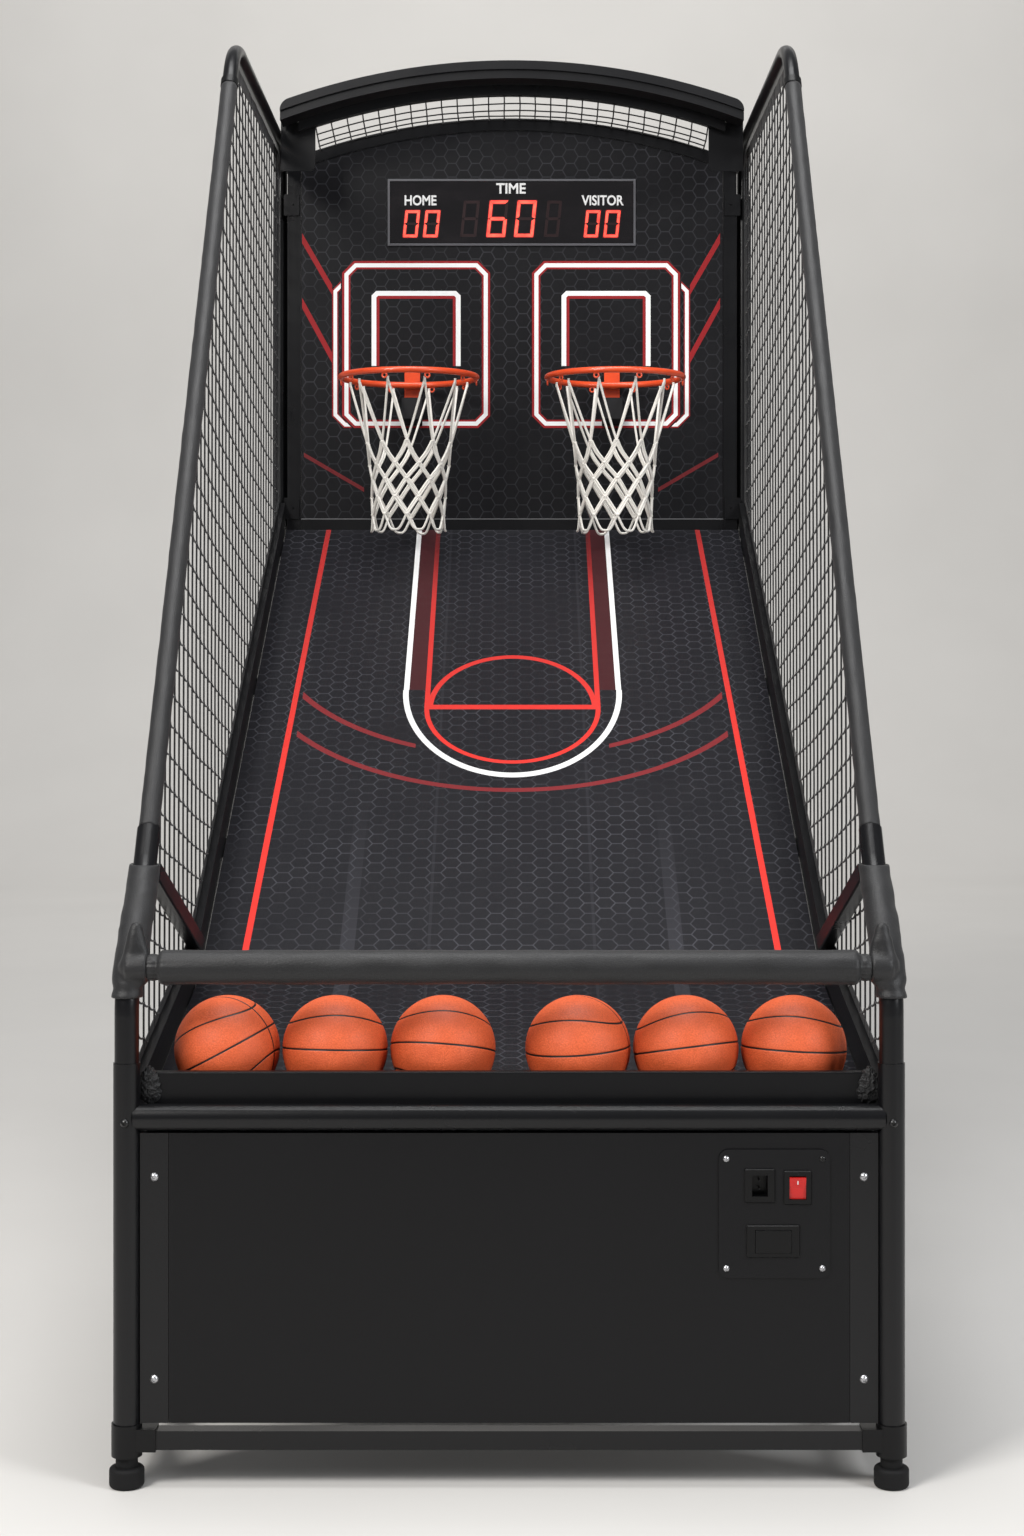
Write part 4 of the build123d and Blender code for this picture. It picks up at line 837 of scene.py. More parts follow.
def side_outline():
    """The outline of the right-hand net in depth and height, from its CAD sheet."""
    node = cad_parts["side_nets"]
    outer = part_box("side_nets")[1].x
    work = bmesh.new()
    work.from_mesh(node.data)
    bmesh.ops.remove_doubles(work, verts=work.verts, dist=1e-5)
    links = {}
    for edge in work.edges:
        flat = [face for face in edge.link_faces if face.normal.x > 0.9]
        if len(flat) == 1 and all(abs(v.co.x - outer) < 1e-4 for v in edge.verts):
            a, b = edge.verts[0].index, edge.verts[1].index
            links.setdefault(a, []).append(b)
            links.setdefault(b, []).append(a)
    places = {v.index: Vector((v.co.y, v.co.z)) for v in work.verts}
    work.free()
    loops, left = [], set(links)
    while left:
        current = min(left)
        loop = []
        while current in left:
            left.discard(current)
            loop.append(places[current])
            onward = [n for n in links[current] if n in left]
            if not onward:
                break
            current = onward[0]
        loops.append(loop)
    loop = max(loops, key=len)
    area = sum(a.x * b.y - b.x * a.y for a, b in zip(loop, loop[1:] + loop[:1]))
    return loop if area > 0 else loop[::-1]


def inside(outline, y, z):
    hit = False
    for a, b in zip(outline, outline[1:] + outline[:1]):
        if (a.y > z) != (b.y > z) and y < (b.x - a.x) * (z - a.y) / (b.y - a.y) + a.x:
            hit = not hit
    return hit


def pieces_inside(chain, outline, x):
    """The stretches of a line that lie inside the outline, as points at x."""
    runs, run = [], []
    for y, z in chain:
        if inside(outline, y, z):
            run.append(Vector((x, y, z)))
        elif run:
            runs.append(run)
            run = []
    runs.append(run)
    return [r for r in runs if len(r) > 1]


def hem(name, outline, x, width, thick, slot):
    """A strip of webbing sewn along the inside of an outline."""
    points = resampled(outline, 0.018)
    count = len(points)
    rings = []
    for i, p in enumerate(points):
        ahead = (points[(i + 2) % count] - points[i - 2]).normalized()
        inward = Vector((-ahead.y, ahead.x))
        near, far = p, p + inward * width
        ripple = 0.0012 * noise.noise(Vector((p.x * 30, p.y * 30, x)))
        rings.append([(x - thick / 2 + ripple, near.x, near.y),
                      (x + thick / 2 + ripple, near.x, near.y),
                      (x + thick / 2 - ripple, far.x, far.y),
                      (x - thick / 2 - ripple, far.x, far.y)])
    vertices, faces = joined_tube(rings, True)
    return wear(outward(piece(name, vertices, faces, False)), slot)


def side_net(side):
    """One side net: near-upright cords, sloping cords, knots and a webbing hem."""
    nets = settings().nets
    outline = side_outline()
    low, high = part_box("side_nets")
    x = (high.x - 0.0008)
    pitch = nets.side_mesh

    def spot(s, t):
        depth = s + HALF_BASE
        y = s + 0.02 * (t - 1.4)
        z = t - 0.25 * depth + 0.045 * depth * depth
        drift = noise.noise_vector(Vector((y * 4.0, z * 4.0, side * 3.0)))
        sag = -0.0035 * math.sin(math.pi * (s / pitch % 1.0))
        return Vector((y + drift.x * 0.005, z + drift.y * 0.005 + sag))
    columns = [low.y - pitch + pitch * i for i in range(int((high.y - low.y) / pitch) + 3)]
    rows = [low.z - pitch + pitch * j for j in range(int((high.z - low.z + 0.5) / pitch) + 3)]
    chains, knots = [], []
    fine = 4
    for s in columns:
        line = [spot(s, rows[0] + pitch * k / 2) for k in range(2 * len(rows))]
        chains += pieces_inside(line, outline, side * x)
    for t in rows:
        line = [spot(columns[0] + pitch * k / fine, t) for k in range(fine * len(columns))]
        chains += pieces_inside(line, outline, side * x)
    for s in columns:
        for t in rows:
            y, z = spot(s, t)
            if inside(outline, y, z):
                knots.append(Vector((side * x, y, z)))
    word = "right" if side > 0 else "left"
    radius = nets.side_cord / 2
    net = net_piece(f"side_net_{word}", chains, knots, radius, 5, radius * SIDE_KNOT, 1,
                    "net_cord")
    edge = hem(f"side_net_hem_{word}", outline, side * x, 0.024, 0.0012, "pad_fabric")
    for obj in (net, edge):
        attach(obj, ROOT)
    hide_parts("side_nets")
    return net


def top_net():
    """The net between the header tube and the backboard's arch."""
    nets = settings().nets
    low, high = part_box("top_net")
    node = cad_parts["top_net"]
    tops = [v.co.z for v in node.data.vertices if v.co.y < low.y + 1e-4]
    backs = [v.co.z for v in node.data.vertices if v.co.y > high.y - 1e-4]
    front_radius = max(tops) - ARCH_CENTRE_Z
    back_radius = max(backs) - ARCH_CENTRE_Z

    def spot(x, share):
        r = front_radius + (back_radius - front_radius) * share - 0.0008
        sag = -0.006 * math.sin(math.pi * share)
        z = ARCH_CENTRE_Z + math.sqrt(r * r - x * x) + sag
        y = low.y + (high.y - low.y) * share
        return Vector((x, y, z)) + wander(Vector((x, y, z)), 0.0015, 14.0)
    half = high.x - 0.004
    count = round(2 * half / nets.top_mesh)
    xs = [-half + 2 * half * i / count for i in range(count + 1)]
    shares = [0.0, 0.25, 0.5, 0.75, 1.0]
    chains = [[spot(x, k / 8) for k in range(9)] for x in xs]
    chains += [[spot(-half + 2 * half * k / (3 * count), share)
                for k in range(3 * count + 1)] for share in shares]
    knots = [spot(x, share) for x in xs for share in shares]
    net = net_piece("top_net_cords", chains, knots, 0.0016, 5, 0.0024, 1, "net_cord")
    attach(net, ROOT)
    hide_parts("top_net")
    return net


# ---------------------------------------------------------------- balls
# lean towards the front, roll and spin of each ball, in degrees
BALL_TURNS = ((-4, -28, -24), (-7, 1, 6), (-14, 4, 9), (-1, -4, -16), (-10, -7, 7), (-5, 3, -9))


def ball_turn(lean, roll, spin):
    """The turn that takes a ball's own directions to where they point in the tray."""
    lean, roll, spin = (math.radians(a) for a in (lean, roll, spin))
    upright = Matrix(((0, 0, 1), (0, -1, 0), (1, 0, 0))).transposed()
    return (Matrix.Rotation(lean, 3, "X") @ Matrix.Rotation(roll, 3, "Y")
            @ Matrix.Rotation(spin, 3, "Z") @ upright)


def ball_piece(number, detail):
    """A pebbled ball with sunken seams. Its own directions are kept for the finish."""
    name = f"ball_{number}"
    low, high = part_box(name)
    centre, radius = (low + high) / 2, (high.z - low.z) / 2
    work = bmesh.new()
    bmesh.ops.create_icosphere(work, subdivisions=detail, radius=1.0)
    mesh = bpy.data.meshes.new(name + "_skin")
    work.to_mesh(mesh)
    work.free()
    count = len(mesh.vertices)
    way = np.zeros(count * 3, np.float32)
    mesh.vertices.foreach_get("co", way)
    way = way.reshape(-1, 3)
    way /= np.linalg.norm(way, axis=1, keepdims=True)
    nx, ny = way[:, 0], way[:, 1]
    curved = np.abs(np.abs(nx) - 0.46 - ny * ny * 0.30)
    away = np.minimum(np.minimum(np.abs(nx), np.abs(ny)), curved)
    sunk = 0.0009 * np.exp(-(away / 0.017) ** 2)
    turn = np.array(ball_turn(*BALL_TURNS[number - 1]))
    places = (way @ turn.T) * (radius - sunk)[:, None] + np.array(centre)
    mesh.vertices.foreach_set("co", places.astype(np.float32).ravel())
    facing = mesh.attributes.new("facing", "FLOAT_VECTOR", "POINT")
    facing.data.foreach_set("vector", way.astype(np.float32).ravel())
    smoothed(mesh)
    obj = linked(name + "_skin", mesh)
    mesh.update()
    wear(obj, "ball_rubber")
    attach(obj, name)
    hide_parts(name)
    return obj


# ---------------------------------------------------------------- soft covers
def bar_cover():
    """The foam bar in its sewn cover, with a gathered cuff at each end."""
    low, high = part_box("bar_padding")
    bore_low, bore_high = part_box("padded_bar_tube")
    centre = (low + high) / 2
    foam, cuff = (high.z - low.z) / 2, 0.0178
    bore = (bore_high.z - bore_low.z) / 2 + 0.0002
    length = high.x - low.x
    collar, shoulder = 0.015, 0.006

    def radius_at(s):
        from_end = min(s, length - s)
        if from_end < collar:
            return cuff - 0.0012 * math.cos(math.pi * from_end / collar) ** 2
        share = min((from_end - collar) / shoulder, 1.0)
        return cuff + (foam - 0.0007 - cuff) * math.sin(share * math.pi / 2) ** 0.8
    steps = [length * k / 380 for k in range(381)]
    ends = [0.0, 0.002, 0.005, 0.008, 0.011, 0.014, 0.0155, 0.017, 0.019, 0.0215, 0.024, 0.027]
    steps = sorted(set([round(s, 5) for s in steps if 0.028 < s < length - 0.028]
                       + ends + [round(length - s, 5) for s in ends]))
    profile = [(s, radius_at(s)) for s in steps] + [(length, bore), (0.0, bore)]

    def push(along, angle, radius):
        if radius < bore + 0.0005:
            return 0.0
        from_end = min(along, length - along)
        gather = math.exp(-max(from_end - collar, 0.0) / 0.03)
        swing = noise.noise(Vector((angle, along * 9, 1)))
        fold = 0.0004 * gather * math.sin(13 * angle + 2 * swing)
        soft = 0.0008 * noise.noise(Vector((along * 22, math.cos(angle) * 1.3,
                                            math.sin(angle) * 1.3)))
        seam = -0.0012 * math.exp(-((angle - 4.35) / 0.05) ** 2)
        return fold + soft + seam
    vertices, faces = lathe_along((low.x, centre.y, centre.z), (1, 0, 0), profile, 72, push)
    obj = wear(outward(piece("bar_cover", vertices, faces)), "pad_fabric")
    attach(obj, ROOT)
    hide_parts("bar_padding")
    return obj


# each wedge is stretched over three balls: x, then y and z from the bar's middle, and radius
GUSSETS = (((0.4855, 0, 0.010, 0.008), (0.498, 0.004, 0.052, 0.009), (0.506, 0, 0, 0.015)),
           ((0.4855, 0, -0.012, 0.007), (0.500, 0, -0.034, 0.008), (0.506, 0, 0, 0.015)))


def add_gussets(obj):
    """Fills the inner angles between the upright cover and its branch to the bar."""
    bar_low, bar_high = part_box("padded_bar_tube")
    y, z = (bar_low.y + bar_high.y) / 2, (bar_low.z + bar_high.z) / 2
    golden, count = math.pi * (3 - math.sqrt(5)), 48
    directions = []
    for k in range(count):
        height = 1 - 2 * (k + 0.5) / count
        reach = math.sqrt(1 - height * height)
        directions.append(Vector((reach * math.cos(golden * k), reach * math.sin(golden * k),
                                  height)))
    work = bmesh.new()
    work.from_mesh(obj.data)
    bmesh.ops.remove_doubles(work, verts=work.verts, dist=1e-6)
    bmesh.ops.recalc_face_normals(work, faces=work.faces)
    for side in (-1, 1):
        for corners in GUSSETS:
            shell = bmesh.new()
            for cx, cy, cz, r in corners:
                for spoke in directions:
                    shell.verts.new(Vector((side * cx, y + cy, z + cz)) + spoke * r)
            hull = bmesh.ops.convex_hull(shell, input=shell.verts[:])
            spare = {g for key in ("geom_interior", "geom_unused") for g in hull[key]
                     if isinstance(g, bmesh.types.BMVert)}
            bmesh.ops.delete(shell, geom=list(spare), context="VERTS")
            wedge = bpy.data.meshes.new("wedge")
            shell.to_mesh(wedge)
            shell.free()
            work.from_mesh(wedge)
            bpy.data.meshes.remove(wedge)
    work.to_mesh(obj.data)
    work.free()


def corner_covers():
    """The wrinkled padded covers over the two shoulder bends."""
    covers = settings().covers
    obj = linked("corner_cover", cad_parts["corner_pads"].data.copy())
    add_gussets(obj)
    remake = obj.modifiers.new("Remake", "REMESH")
    remake.mode = "VOXEL"
    remake.voxel_size = covers.voxel
    remake.use_smooth_shade = True
    baked(obj)
    soften = obj.modifiers.new("Soften", "SMOOTH")
    soften.iterations = 6
    baked(obj)
    mesh = obj.data
    low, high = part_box("corner_pads")
    moved = []
    for vertex in mesh.vertices:
        p, n = vertex.co, vertex.normal
        run = Vector((p.x * 34, p.y * 18, p.z * 26))
        folds = noise.noise(run + Vector((0, p.z * 30, 0)))
        ridge = 1.0 - abs(noise.noise(Vector((p.x * 16 + 7, p.y * 18, p.z * 34 + p.y * 14)))) * 2.4
        near_end = math.exp(-abs(p.z - low.z) / 0.02) + math.exp(-abs(high.z - p.z) / 0.02)
        tight = -0.0022 * math.exp(-((p.z - low.z - 0.012) / 0.006) ** 2)
        push = covers.crease * (0.55 * ridge + 0.45 * folds) - 0.001 * near_end + tight
        moved.append(p + n * push)
    for vertex, place in zip(mesh.vertices, moved):
        vertex.co = place
    mesh.update()
    smoothed(mesh)
    wear(obj, "pad_fabric")
    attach(obj, ROOT)
    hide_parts("corner_pads")
    return obj


def tray_ties():
    """The crumpled cloth ends that tie the side nets to the tray's front corners."""
    low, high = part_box("tray_front_board")
    rail_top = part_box("front_top_rail")[1].z
    for side, word in ((-1, "left"), (1, "right")):
        work = bmesh.new()
        bmesh.ops.create_icosphere(work, subdivisions=6, radius=1.0)
        centre = Vector((side * (high.x - 0.0025), low.y + 0.0005, rail_top + 0.0215))
        for vertex in work.verts:
            d = vertex.co.copy()
            fold = 1.0 - abs(noise.noise(Vector((d.x * 1.6 + side, d.y * 1.5, d.z * 3.1)))) * 2.2
            crease = abs(noise.noise(Vector((d.x * 4.5, d.y * 4, d.z * 7 + side))))
            size = 1.0 + 0.16 * fold - 0.22 * crease
            taper = 1.0 - 0.28 * d.z
            vertex.co = centre + Vector((d.x * 0.0150 * taper, d.y * 0.0105, d.z * 0.0230)) * size
        mesh = bpy.data.meshes.new(f"tray_tie_{word}")
        work.to_mesh(mesh)
        work.free()
        obj = linked(f"tray_tie_{word}", mesh)
        smoothed(mesh)
        wear(obj, "pad_fabric")
        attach(obj, ROOT)


def rail_sleeves():
    """The cloth sleeves along the leaning rails, pulled tight and slightly creased."""
    low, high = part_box("net_sleeves")
    outer, thick = 0.01485, 0.0012
    start = Vector((0, low.y + outer * RAIL_AXIS.z, low.z + outer * RAIL_AXIS.y))
    end = Vector((0, high.y - outer * RAIL_AXIS.z, high.z - outer * RAIL_AXIS.y))
    length = (end - start).length
    made = []
    for side, word in ((-1, "left"), (1, "right")):
        origin = Vector((side * 0.51, start.y, start.z))
        steps = [length * k / 330 for k in range(331)]
        profile = ([(s, outer - 0.0002) for s in steps]
                   + [(s, outer - thick) for s in reversed(steps)])

        def push(along, angle, radius):
            if radius < outer - thick / 2:
                return 0.0
            twist = math.sin(3 * angle + along * 55 + 5 * noise.noise(
                Vector((along * 7, side, 0))))
            return 0.0005 * twist * noise.noise(Vector((along * 12, angle, side))) + 0.0004 * (
                noise.noise(Vector((along * 45, math.cos(angle), math.sin(angle)))))
        vertices, faces = lathe_along(origin, end - start, profile, 36, push)
        obj = wear(outward(piece(f"rail_sleeve_{word}", vertices, faces)), "pad_fabric")
        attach(obj, ROOT)
        made.append(obj)
    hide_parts("net_sleeves")
    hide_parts("net_sleeves")
    return made


# ---------------------------------------------------------------- display
SEGMENTS = {"0": "abcdef", "6": "acdefg", "8": "abcdefg"}
LEAN = math.tan(math.radians(6))


def segment_shapes(width, height, stroke, lit):
    """Corner points of each lit bar of a seven-bar numeral, as a list of polygons."""
    gap = stroke * 0.09
    w, h, s = width / 2, height / 2, stroke
    bars = {
        "a": ((-w + gap, h), (w - gap, h), (w - s, h - s), (-w + s, h - s)),
        "d": ((-w + s, -h + s), (w - s, -h + s), (w - gap, -h), (-w + gap, -h)),
        "f": ((-w, h - gap), (-w + s, h - s - gap), (-w + s, s / 2 + gap), (-w, gap)),
        "e": ((-w, -gap), (-w + s, -s / 2 - gap), (-w + s, -h + s + gap), (-w, -h + gap)),
        "b": ((w, h - gap), (w, gap), (w - s, s / 2 + gap), (w - s, h - s - gap)),
        "c": ((w, -gap), (w, -h + gap), (w - s, -h + s + gap), (w - s, -s / 2 - gap)),
        "g": ((-w + s, s / 2), (w - s, s / 2), (w - s * 0.5, 0), (w - s, -s / 2),
              (-w + s, -s / 2), (-w + s * 0.5, 0)),
    }
    return [bars[key] for key in lit]


def raised(name, polygons, front, back, slot, material):
    """Flat shapes given a small thickness between two depths."""
    vertices, faces = [], []
    for shape in polygons:
        first, count = len(vertices), len(shape)
        vertices += [(x, front, z) for x, z in shape] + [(x, back, z) for x, z in shape]
        faces.append(tuple(first + k for k in range(count)))
        faces.append(tuple(first + count + k for k in reversed(range(count))))
        for k in range(count):
            n = (k + 1) % count
            faces.append((first + k, first + n, first + count + n, first + count + k))
    obj = piece(name, vertices, faces, False)
    work = bmesh.new()
    work.from_mesh(obj.data)
    bmesh.ops.recalc_face_normals(work, faces=work.faces)
    work.to_mesh(obj.data)
    work.free()
    wear(obj, slot, material)
    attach(obj, ROOT)
    return obj


NUMERALS = (("0", -0.2210, 0.0376, 0.0586, 2.0274), ("0", -0.1766, 0.0380, 0.0586, 2.0274),
            ("8", -0.0923, 0.0439, 0.0796, 2.0280), ("6", -0.0321, 0.0490, 0.0796, 2.0280),
            ("0", 0.0292, 0.0498, 0.0796, 2.0280), ("8", 0.0897, 0.0408, 0.0796, 2.0280),
            ("0", 0.1757, 0.0366, 0.0586, 2.0274), ("0", 0.2193, 0.0374, 0.0586, 2.0274))
UNLIT = (2, 5)
TALL_NUMERAL = 0.07         # numerals above this height have the wider stroke
NARROW_STROKE, WIDE_STROKE = 0.0052, 0.0064
HALO_SPREAD = 0.0030        # how far the halo goes past a lit bar
WORD_WEIGHT = 0.024         # how much the letters are thickened
WORDS = (("HOME", -0.2360, -0.1660, 2.0970, 2.1195), ("TIME", -0.0350, 0.0300, 2.1230, 2.1460),
         ("VISITOR", 0.1525, 0.2450, 2.0970, 2.1195))


def numerals():
    """Glowing, dim and unlit bars of the eight numerals, on the face of the window."""
    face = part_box("scoreboard_window")[0].y
    lit, halo, dim = [], [], []
    for index, (digit, x, width, height, z) in enumerate(NUMERALS):
        stroke = NARROW_STROKE if height < TALL_NUMERAL else WIDE_STROKE
        inner = width - height * LEAN
        middle = z + height / 2

        def placed(shapes):
            return [[(x + a + b * LEAN, middle + b) for a, b in shape] for shape in shapes]
        bars = SEGMENTS[digit]
        missing = "".join(sorted(set("abcdefg") - set(bars)))
        if index in UNLIT:
            dim += placed(segment_shapes(inner, height, stroke, bars))
            continue
        lit += placed(segment_shapes(inner, height, stroke, bars))
        dim += placed(segment_shapes(inner, height, stroke, missing))
        halo += placed(segment_shapes(inner + HALO_SPREAD, height + HALO_SPREAD,
                                      stroke + HALO_SPREAD, bars))
    raised("digit_glow", lit, face - 0.0007, face - 0.0001, "digit_red", "digit_red")
    raised("digit_halo", halo, face - 0.00045, face - 0.0001, "digit_red", "digit_halo")
    raised("digit_dim", dim, face - 0.0003, face - 0.0001, "display_window", "digit_unlit")


def words():
    """The generic words over the numerals."""
    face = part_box("scoreboard_window")[0].y
    for text, x0, x1, z0, z1 in WORDS:
        curve = bpy.data.curves.new(text, "FONT")
        curve.body = text
        curve.size = 1.0
        curve.offset = WORD_WEIGHT
        curve.resolution_u = 4
        curve.extrude = 0.01
        obj = linked(f"word_{text.lower()}", curve)
        bpy.context.view_layer.update()
        graph = bpy.context.evaluated_depsgraph_get()
        mesh = bpy.data.meshes.new_from_object(obj.evaluated_get(graph))
        bpy.data.objects.remove(obj)
        obj = linked(f"word_{text.lower()}", mesh)
        xs = [v.co.x for v in mesh.vertices]
        ys = [v.co.y for v in mesh.vertices]
        for v in mesh.vertices:
            across = (v.co.x - min(xs)) / (max(xs) - min(xs))
            up = (v.co.y - min(ys)) / (max(ys) - min(ys))
            depth = face - (0.0004 if v.co.z > 0 else 0.0001)
            v.co = (x0 + (x1 - x0) * across, depth, z0 + (z1 - z0) * up)
        outward(obj)
        wear(obj, "display_trim", "word_white")
        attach(obj, ROOT)


def display_edge():
    """The thin pale line that runs round the window."""
    low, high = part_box("scoreboard_bezel")
    y = low.y
    inset, line = 0.0022, 0.0022
    outer = (low.x + inset, high.x - inset, low.z + inset, high.z - inset)

    def frame_bars(x0, x1, z0, z1):
        return [[(x0, z0), (x1, z0), (x1, z0 + line), (x0, z0 + line)],
                [(x0, z1 - line), (x1, z1 - line), (x1, z1), (x0, z1)],
                [(x0, z0 + line), (x0 + line, z0 + line), (x0 + line, z1 - line),
                 (x0, z1 - line)],
                [(x1 - line, z0 + line), (x1, z0 + line), (x1, z1 - line),
                 (x1 - line, z1 - line)]]
    raised("display_edge", frame_bars(*outer), y - 0.0005, y + 0.0002, "display_trim",
           "display_trim")


def rocker_mark():
    """The small pale bar on the rocker, laid on its sloping face."""
    low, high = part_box("power_rocker")
    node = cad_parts["power_rocker"]
    x = (low.x + high.x) / 2
    z0, z1 = high.z - 0.0105, high.z - 0.0055
    half = 0.0007
    faces, vertices = [], []
    for z in (z0, z1):
        hit, place, _, _ = node.ray_cast(Vector((x, low.y - 0.05, z)), Vector((0, 1, 0)))
        if not hit:
            raise RuntimeError("the rocker has no face where its mark goes")
        vertices += [(x - half, place.y - 0.0002, z), (x + half, place.y - 0.0002, z),
                     (x + half, place.y + 0.0002, z), (x - half, place.y + 0.0002, z)]
    for k in range(4):
        n = (k + 1) % 4
        faces.append((k, n, 4 + n, 4 + k))
    faces += [(3, 2, 1, 0), (4, 5, 6, 7)]
    obj = outward(piece("rocker_mark", vertices, faces, False))
    wear(obj, "rocker_red", "word_white")
    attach(obj, "rocker_key")


# ---------------------------------------------------------------- stage
CAMERA_PLACE = (0.0102, -4.2517, 1.1059)
CAMERA_LENS = 56.25
CAMERA_SHIFT = (-0.0031, -0.0723)


# name, place, what it points at, size, power and colour
LIGHTS = (("key", (-2.9, -4.0, 4.2), (0, 0, 1.1), (1.7, 1.7), 250, (1.0, 0.98, 0.95)),
          ("fill", (3.5, -3.4, 2.8), (0, 0, 1.1), (1.4, 2.2), 120, (0.96, 0.98, 1.0)),
          ("overhead", (0.0, -0.9, 5.0), (0, 0.2, 1.0), (2.6, 2.6), 150, (1, 1, 1)),
          ("backdrop", (0.0, 6.0, 7.0), (0, 9.8, 1.4), (9.0, 3.0), 340, (1.0, 0.99, 0.97)))


def area_light(name, place, target, size, power, colour):
    light = bpy.data.lights.new(name, "AREA")
    light.shape = "RECTANGLE"
    light.size, light.size_y = size
    light.energy = power
    light.color = colour
    obj = linked(name, light)
    obj.location = place
    obj.rotation_euler = (Vector(target) - Vector(place)).to_track_quat("-Z", "Y").to_euler()
    return obj


def build_stage():
    """A pale floor that curves up into a backdrop, three soft lights and the camera."""
    turn, wall, back, front = 3.2, 12.0, 10.6, -14.0
    profile = [(front, 0.0), (back - turn, 0.0)]
    profile += [(back - turn + turn * math.sin(a), turn - turn * math.cos(a))
                for a in (math.pi / 2 * k / 16 for k in range(1, 17))]
    profile.append((back, wall))
    vertices = [(x, y, z) for y, z in profile for x in (-14.0, 14.0)]
    faces = [(2 * i, 2 * i + 1, 2 * i + 3, 2 * i + 2) for i in range(len(profile) - 1)]
    sweep = piece("stage_floor", vertices, faces)
    paint = Paint("stage_paper", Specular_IOR_Level=0.2)
    paint.put("Base Color", paint.over(tone(205, 203, 200), tone(214, 212, 209),
                                       paint.grain(1.3, 3.0)))
    paint.put("Roughness", 0.82 + paint.grain(30.0) * 0.1)
    sweep.data.materials.append(paint.material)
    world = bpy.data.worlds.new("studio")
    world.use_nodes = True
    sky = world.node_tree.nodes["Background"]
    sky.inputs["Color"].default_value = (0.86, 0.88, 0.92, 1.0)
    sky.inputs["Strength"].default_value = 0.2
    bpy.context.scene.world = world
    for light in LIGHTS:
        area_light(*light)
    camera = bpy.data.cameras.new("camera")
    camera.lens = CAMERA_LENS
    camera.sensor_fit = "VERTICAL"
    camera.sensor_height = 36.0
    camera.shift_x, camera.shift_y = CAMERA_SHIFT
    camera.dof.use_dof = False
    obj = bpy.data.objects.new("camera", camera)
    obj.location = CAMERA_PLACE
    obj.rotation_euler = (math.pi / 2, 0, 0)
    bpy.context.scene.collection.objects.link(obj)
    bpy.context.scene.camera = obj
    bpy.context.scene.view_settings.view_transform = "Standard"


# ---------------------------------------------------------------- operators
class HOOPS_OT_stage(bpy.types.Operator):
    """Lay the floor, set the lights and place the camera"""
    bl_idname = "hoops.stage"
    bl_label = "Stage"
    bl_options = {"REGISTER", "UNDO"}

    def execute(self, context):
        build_stage()
        return {"FINISHED"}


class HOOPS_OT_finishes(bpy.types.Operator):
    """Give every part of the frame its finish"""
    bl_idname = "hoops.finishes"
    bl_label = "Finishes"
    bl_options = {"REGISTER", "UNDO"}

    def execute(self, context):
        FINISHES.update(make_finishes())
        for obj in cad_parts.values():
            slot = obj.material_slots[0].material.name.split(".")[0]
            if slot not in FINISHES:
                raise RuntimeError(f"no finish is made for {slot}")
            for holder in obj.material_slots:
                holder.material = FINISHES[slot].material
        return {"FINISHED"}


class HOOPS_OT_hoop_nets(bpy.types.Operator):
    """Knot the two hoop nets"""
    bl_idname = "hoops.hoop_nets"
    bl_label = "Hoop nets"
    bl_options = {"REGISTER", "UNDO"}

    def execute(self, context):
        for side in ("left", "right"):
            hoop_net(f"hoop_net_cords_{side}", f"hoop_net_{side}", "hoop_cord")
        return {"FINISHED"}


class HOOPS_OT_side_nets(bpy.types.Operator):
    """Hang the nets in the sides"""
    bl_idname = "hoops.side_nets"
    bl_label = "Side nets"
    bl_options = {"REGISTER", "UNDO"}

    def execute(self, context):
        for side in (-1, 1):
            side_net(side)
        return {"FINISHED"}


class HOOPS_OT_top_net(bpy.types.Operator):
    """Stretch the net behind the header"""
    bl_idname = "hoops.top_net"
    bl_label = "Top net"
    bl_options = {"REGISTER", "UNDO"}

    def execute(self, context):
        top_net()
        return {"FINISHED"}


class HOOPS_OT_balls(bpy.types.Operator):
    """Make the six balls"""
    bl_idname = "hoops.balls"
    bl_label = "Balls"
    bl_options = {"REGISTER", "UNDO"}
    detail: IntProperty(name="Detail", description="Divisions of each ball", default=7,
                        min=4, max=7)

    def execute(self, context):
        for number in range(1, 7):
            ball_piece(number, self.detail)
        return {"FINISHED"}


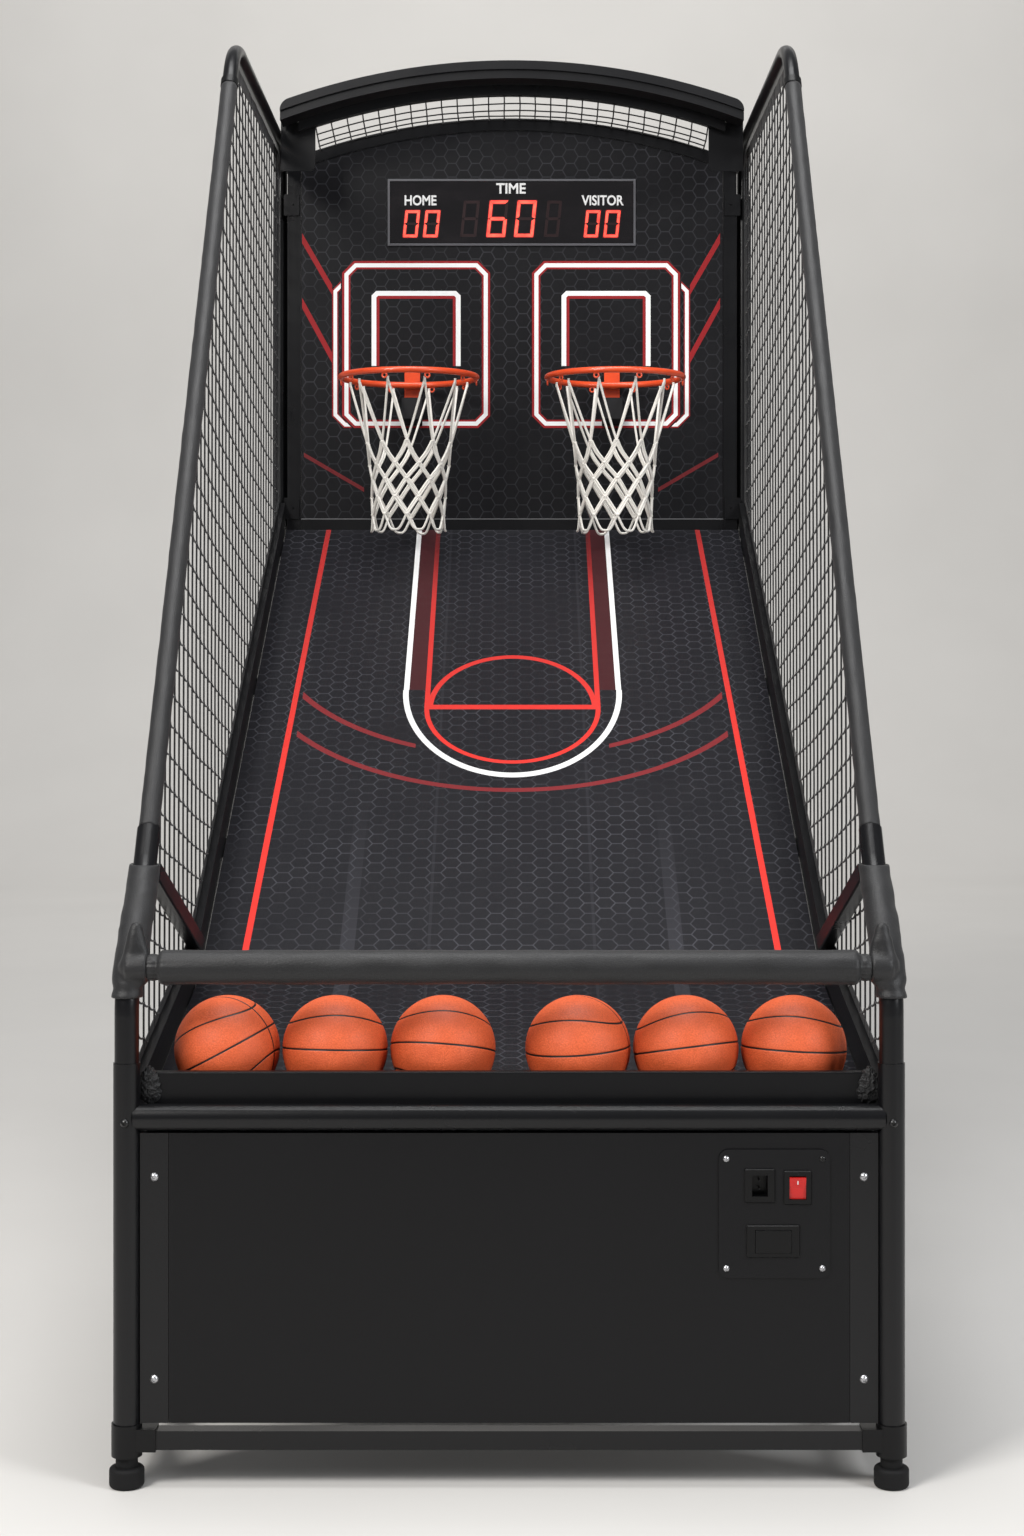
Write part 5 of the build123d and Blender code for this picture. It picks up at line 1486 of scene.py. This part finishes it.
class HOOPS_OT_covers(bpy.types.Operator):
    """Sew the bar's cover, the corner covers and the rail sleeves"""
    bl_idname = "hoops.covers"
    bl_label = "Soft covers"
    bl_options = {"REGISTER", "UNDO"}

    def execute(self, context):
        bar_cover()
        corner_covers()
        rail_sleeves()
        tray_ties()
        return {"FINISHED"}


class HOOPS_OT_display(bpy.types.Operator):
    """Light the score display"""
    bl_idname = "hoops.display"
    bl_label = "Score display"
    bl_options = {"REGISTER", "UNDO"}

    def execute(self, context):
        numerals()
        words()
        display_edge()
        return {"FINISHED"}


class HOOPS_OT_controls(bpy.types.Operator):
    """Mark the power rocker"""
    bl_idname = "hoops.controls"
    bl_label = "Controls"
    bl_options = {"REGISTER", "UNDO"}

    def execute(self, context):
        rocker_mark()
        return {"FINISHED"}


OPERATORS = (HOOPS_OT_stage, HOOPS_OT_finishes, HOOPS_OT_hoop_nets, HOOPS_OT_side_nets,
             HOOPS_OT_top_net, HOOPS_OT_balls, HOOPS_OT_covers, HOOPS_OT_display,
             HOOPS_OT_controls)


class HOOPS_PT_machine(bpy.types.Panel):
    """Lists the machine's pieces and settings"""
    bl_idname = "HOOPS_PT_machine"
    bl_label = "Basketball hoop machine"
    bl_space_type = "VIEW_3D"
    bl_region_type = "UI"
    bl_category = "Hoops"

    def draw(self, context):
        values = context.scene.hoop_machine
        for group in (values.finish, values.nets, values.covers):
            for name in group.bl_rna.properties.keys():
                if name not in ("rna_type", "name"):
                    self.layout.prop(group, name)
        for operator in OPERATORS:
            self.layout.operator(operator.bl_idname)


CLASSES = (HoopFinishSettings, HoopNetSettings, HoopCoverSettings, HoopMachineSettings,
           *OPERATORS, HOOPS_PT_machine)


NET_SEED = 1                # the drift of the nets' cords, the same in every run


def register():
    noise.seed_set(NET_SEED)
    for cls in CLASSES:
        bpy.utils.register_class(cls)
    bpy.types.Scene.hoop_machine = PointerProperty(type=HoopMachineSettings)


def unregister():
    del bpy.types.Scene.hoop_machine
    for cls in reversed(CLASSES):
        bpy.utils.unregister_class(cls)


def main():
    register()
    for operator in OPERATORS:
        group, name = operator.bl_idname.split(".")
        getattr(getattr(bpy.ops, group), name)()


if __name__ == "__main__":
    main()
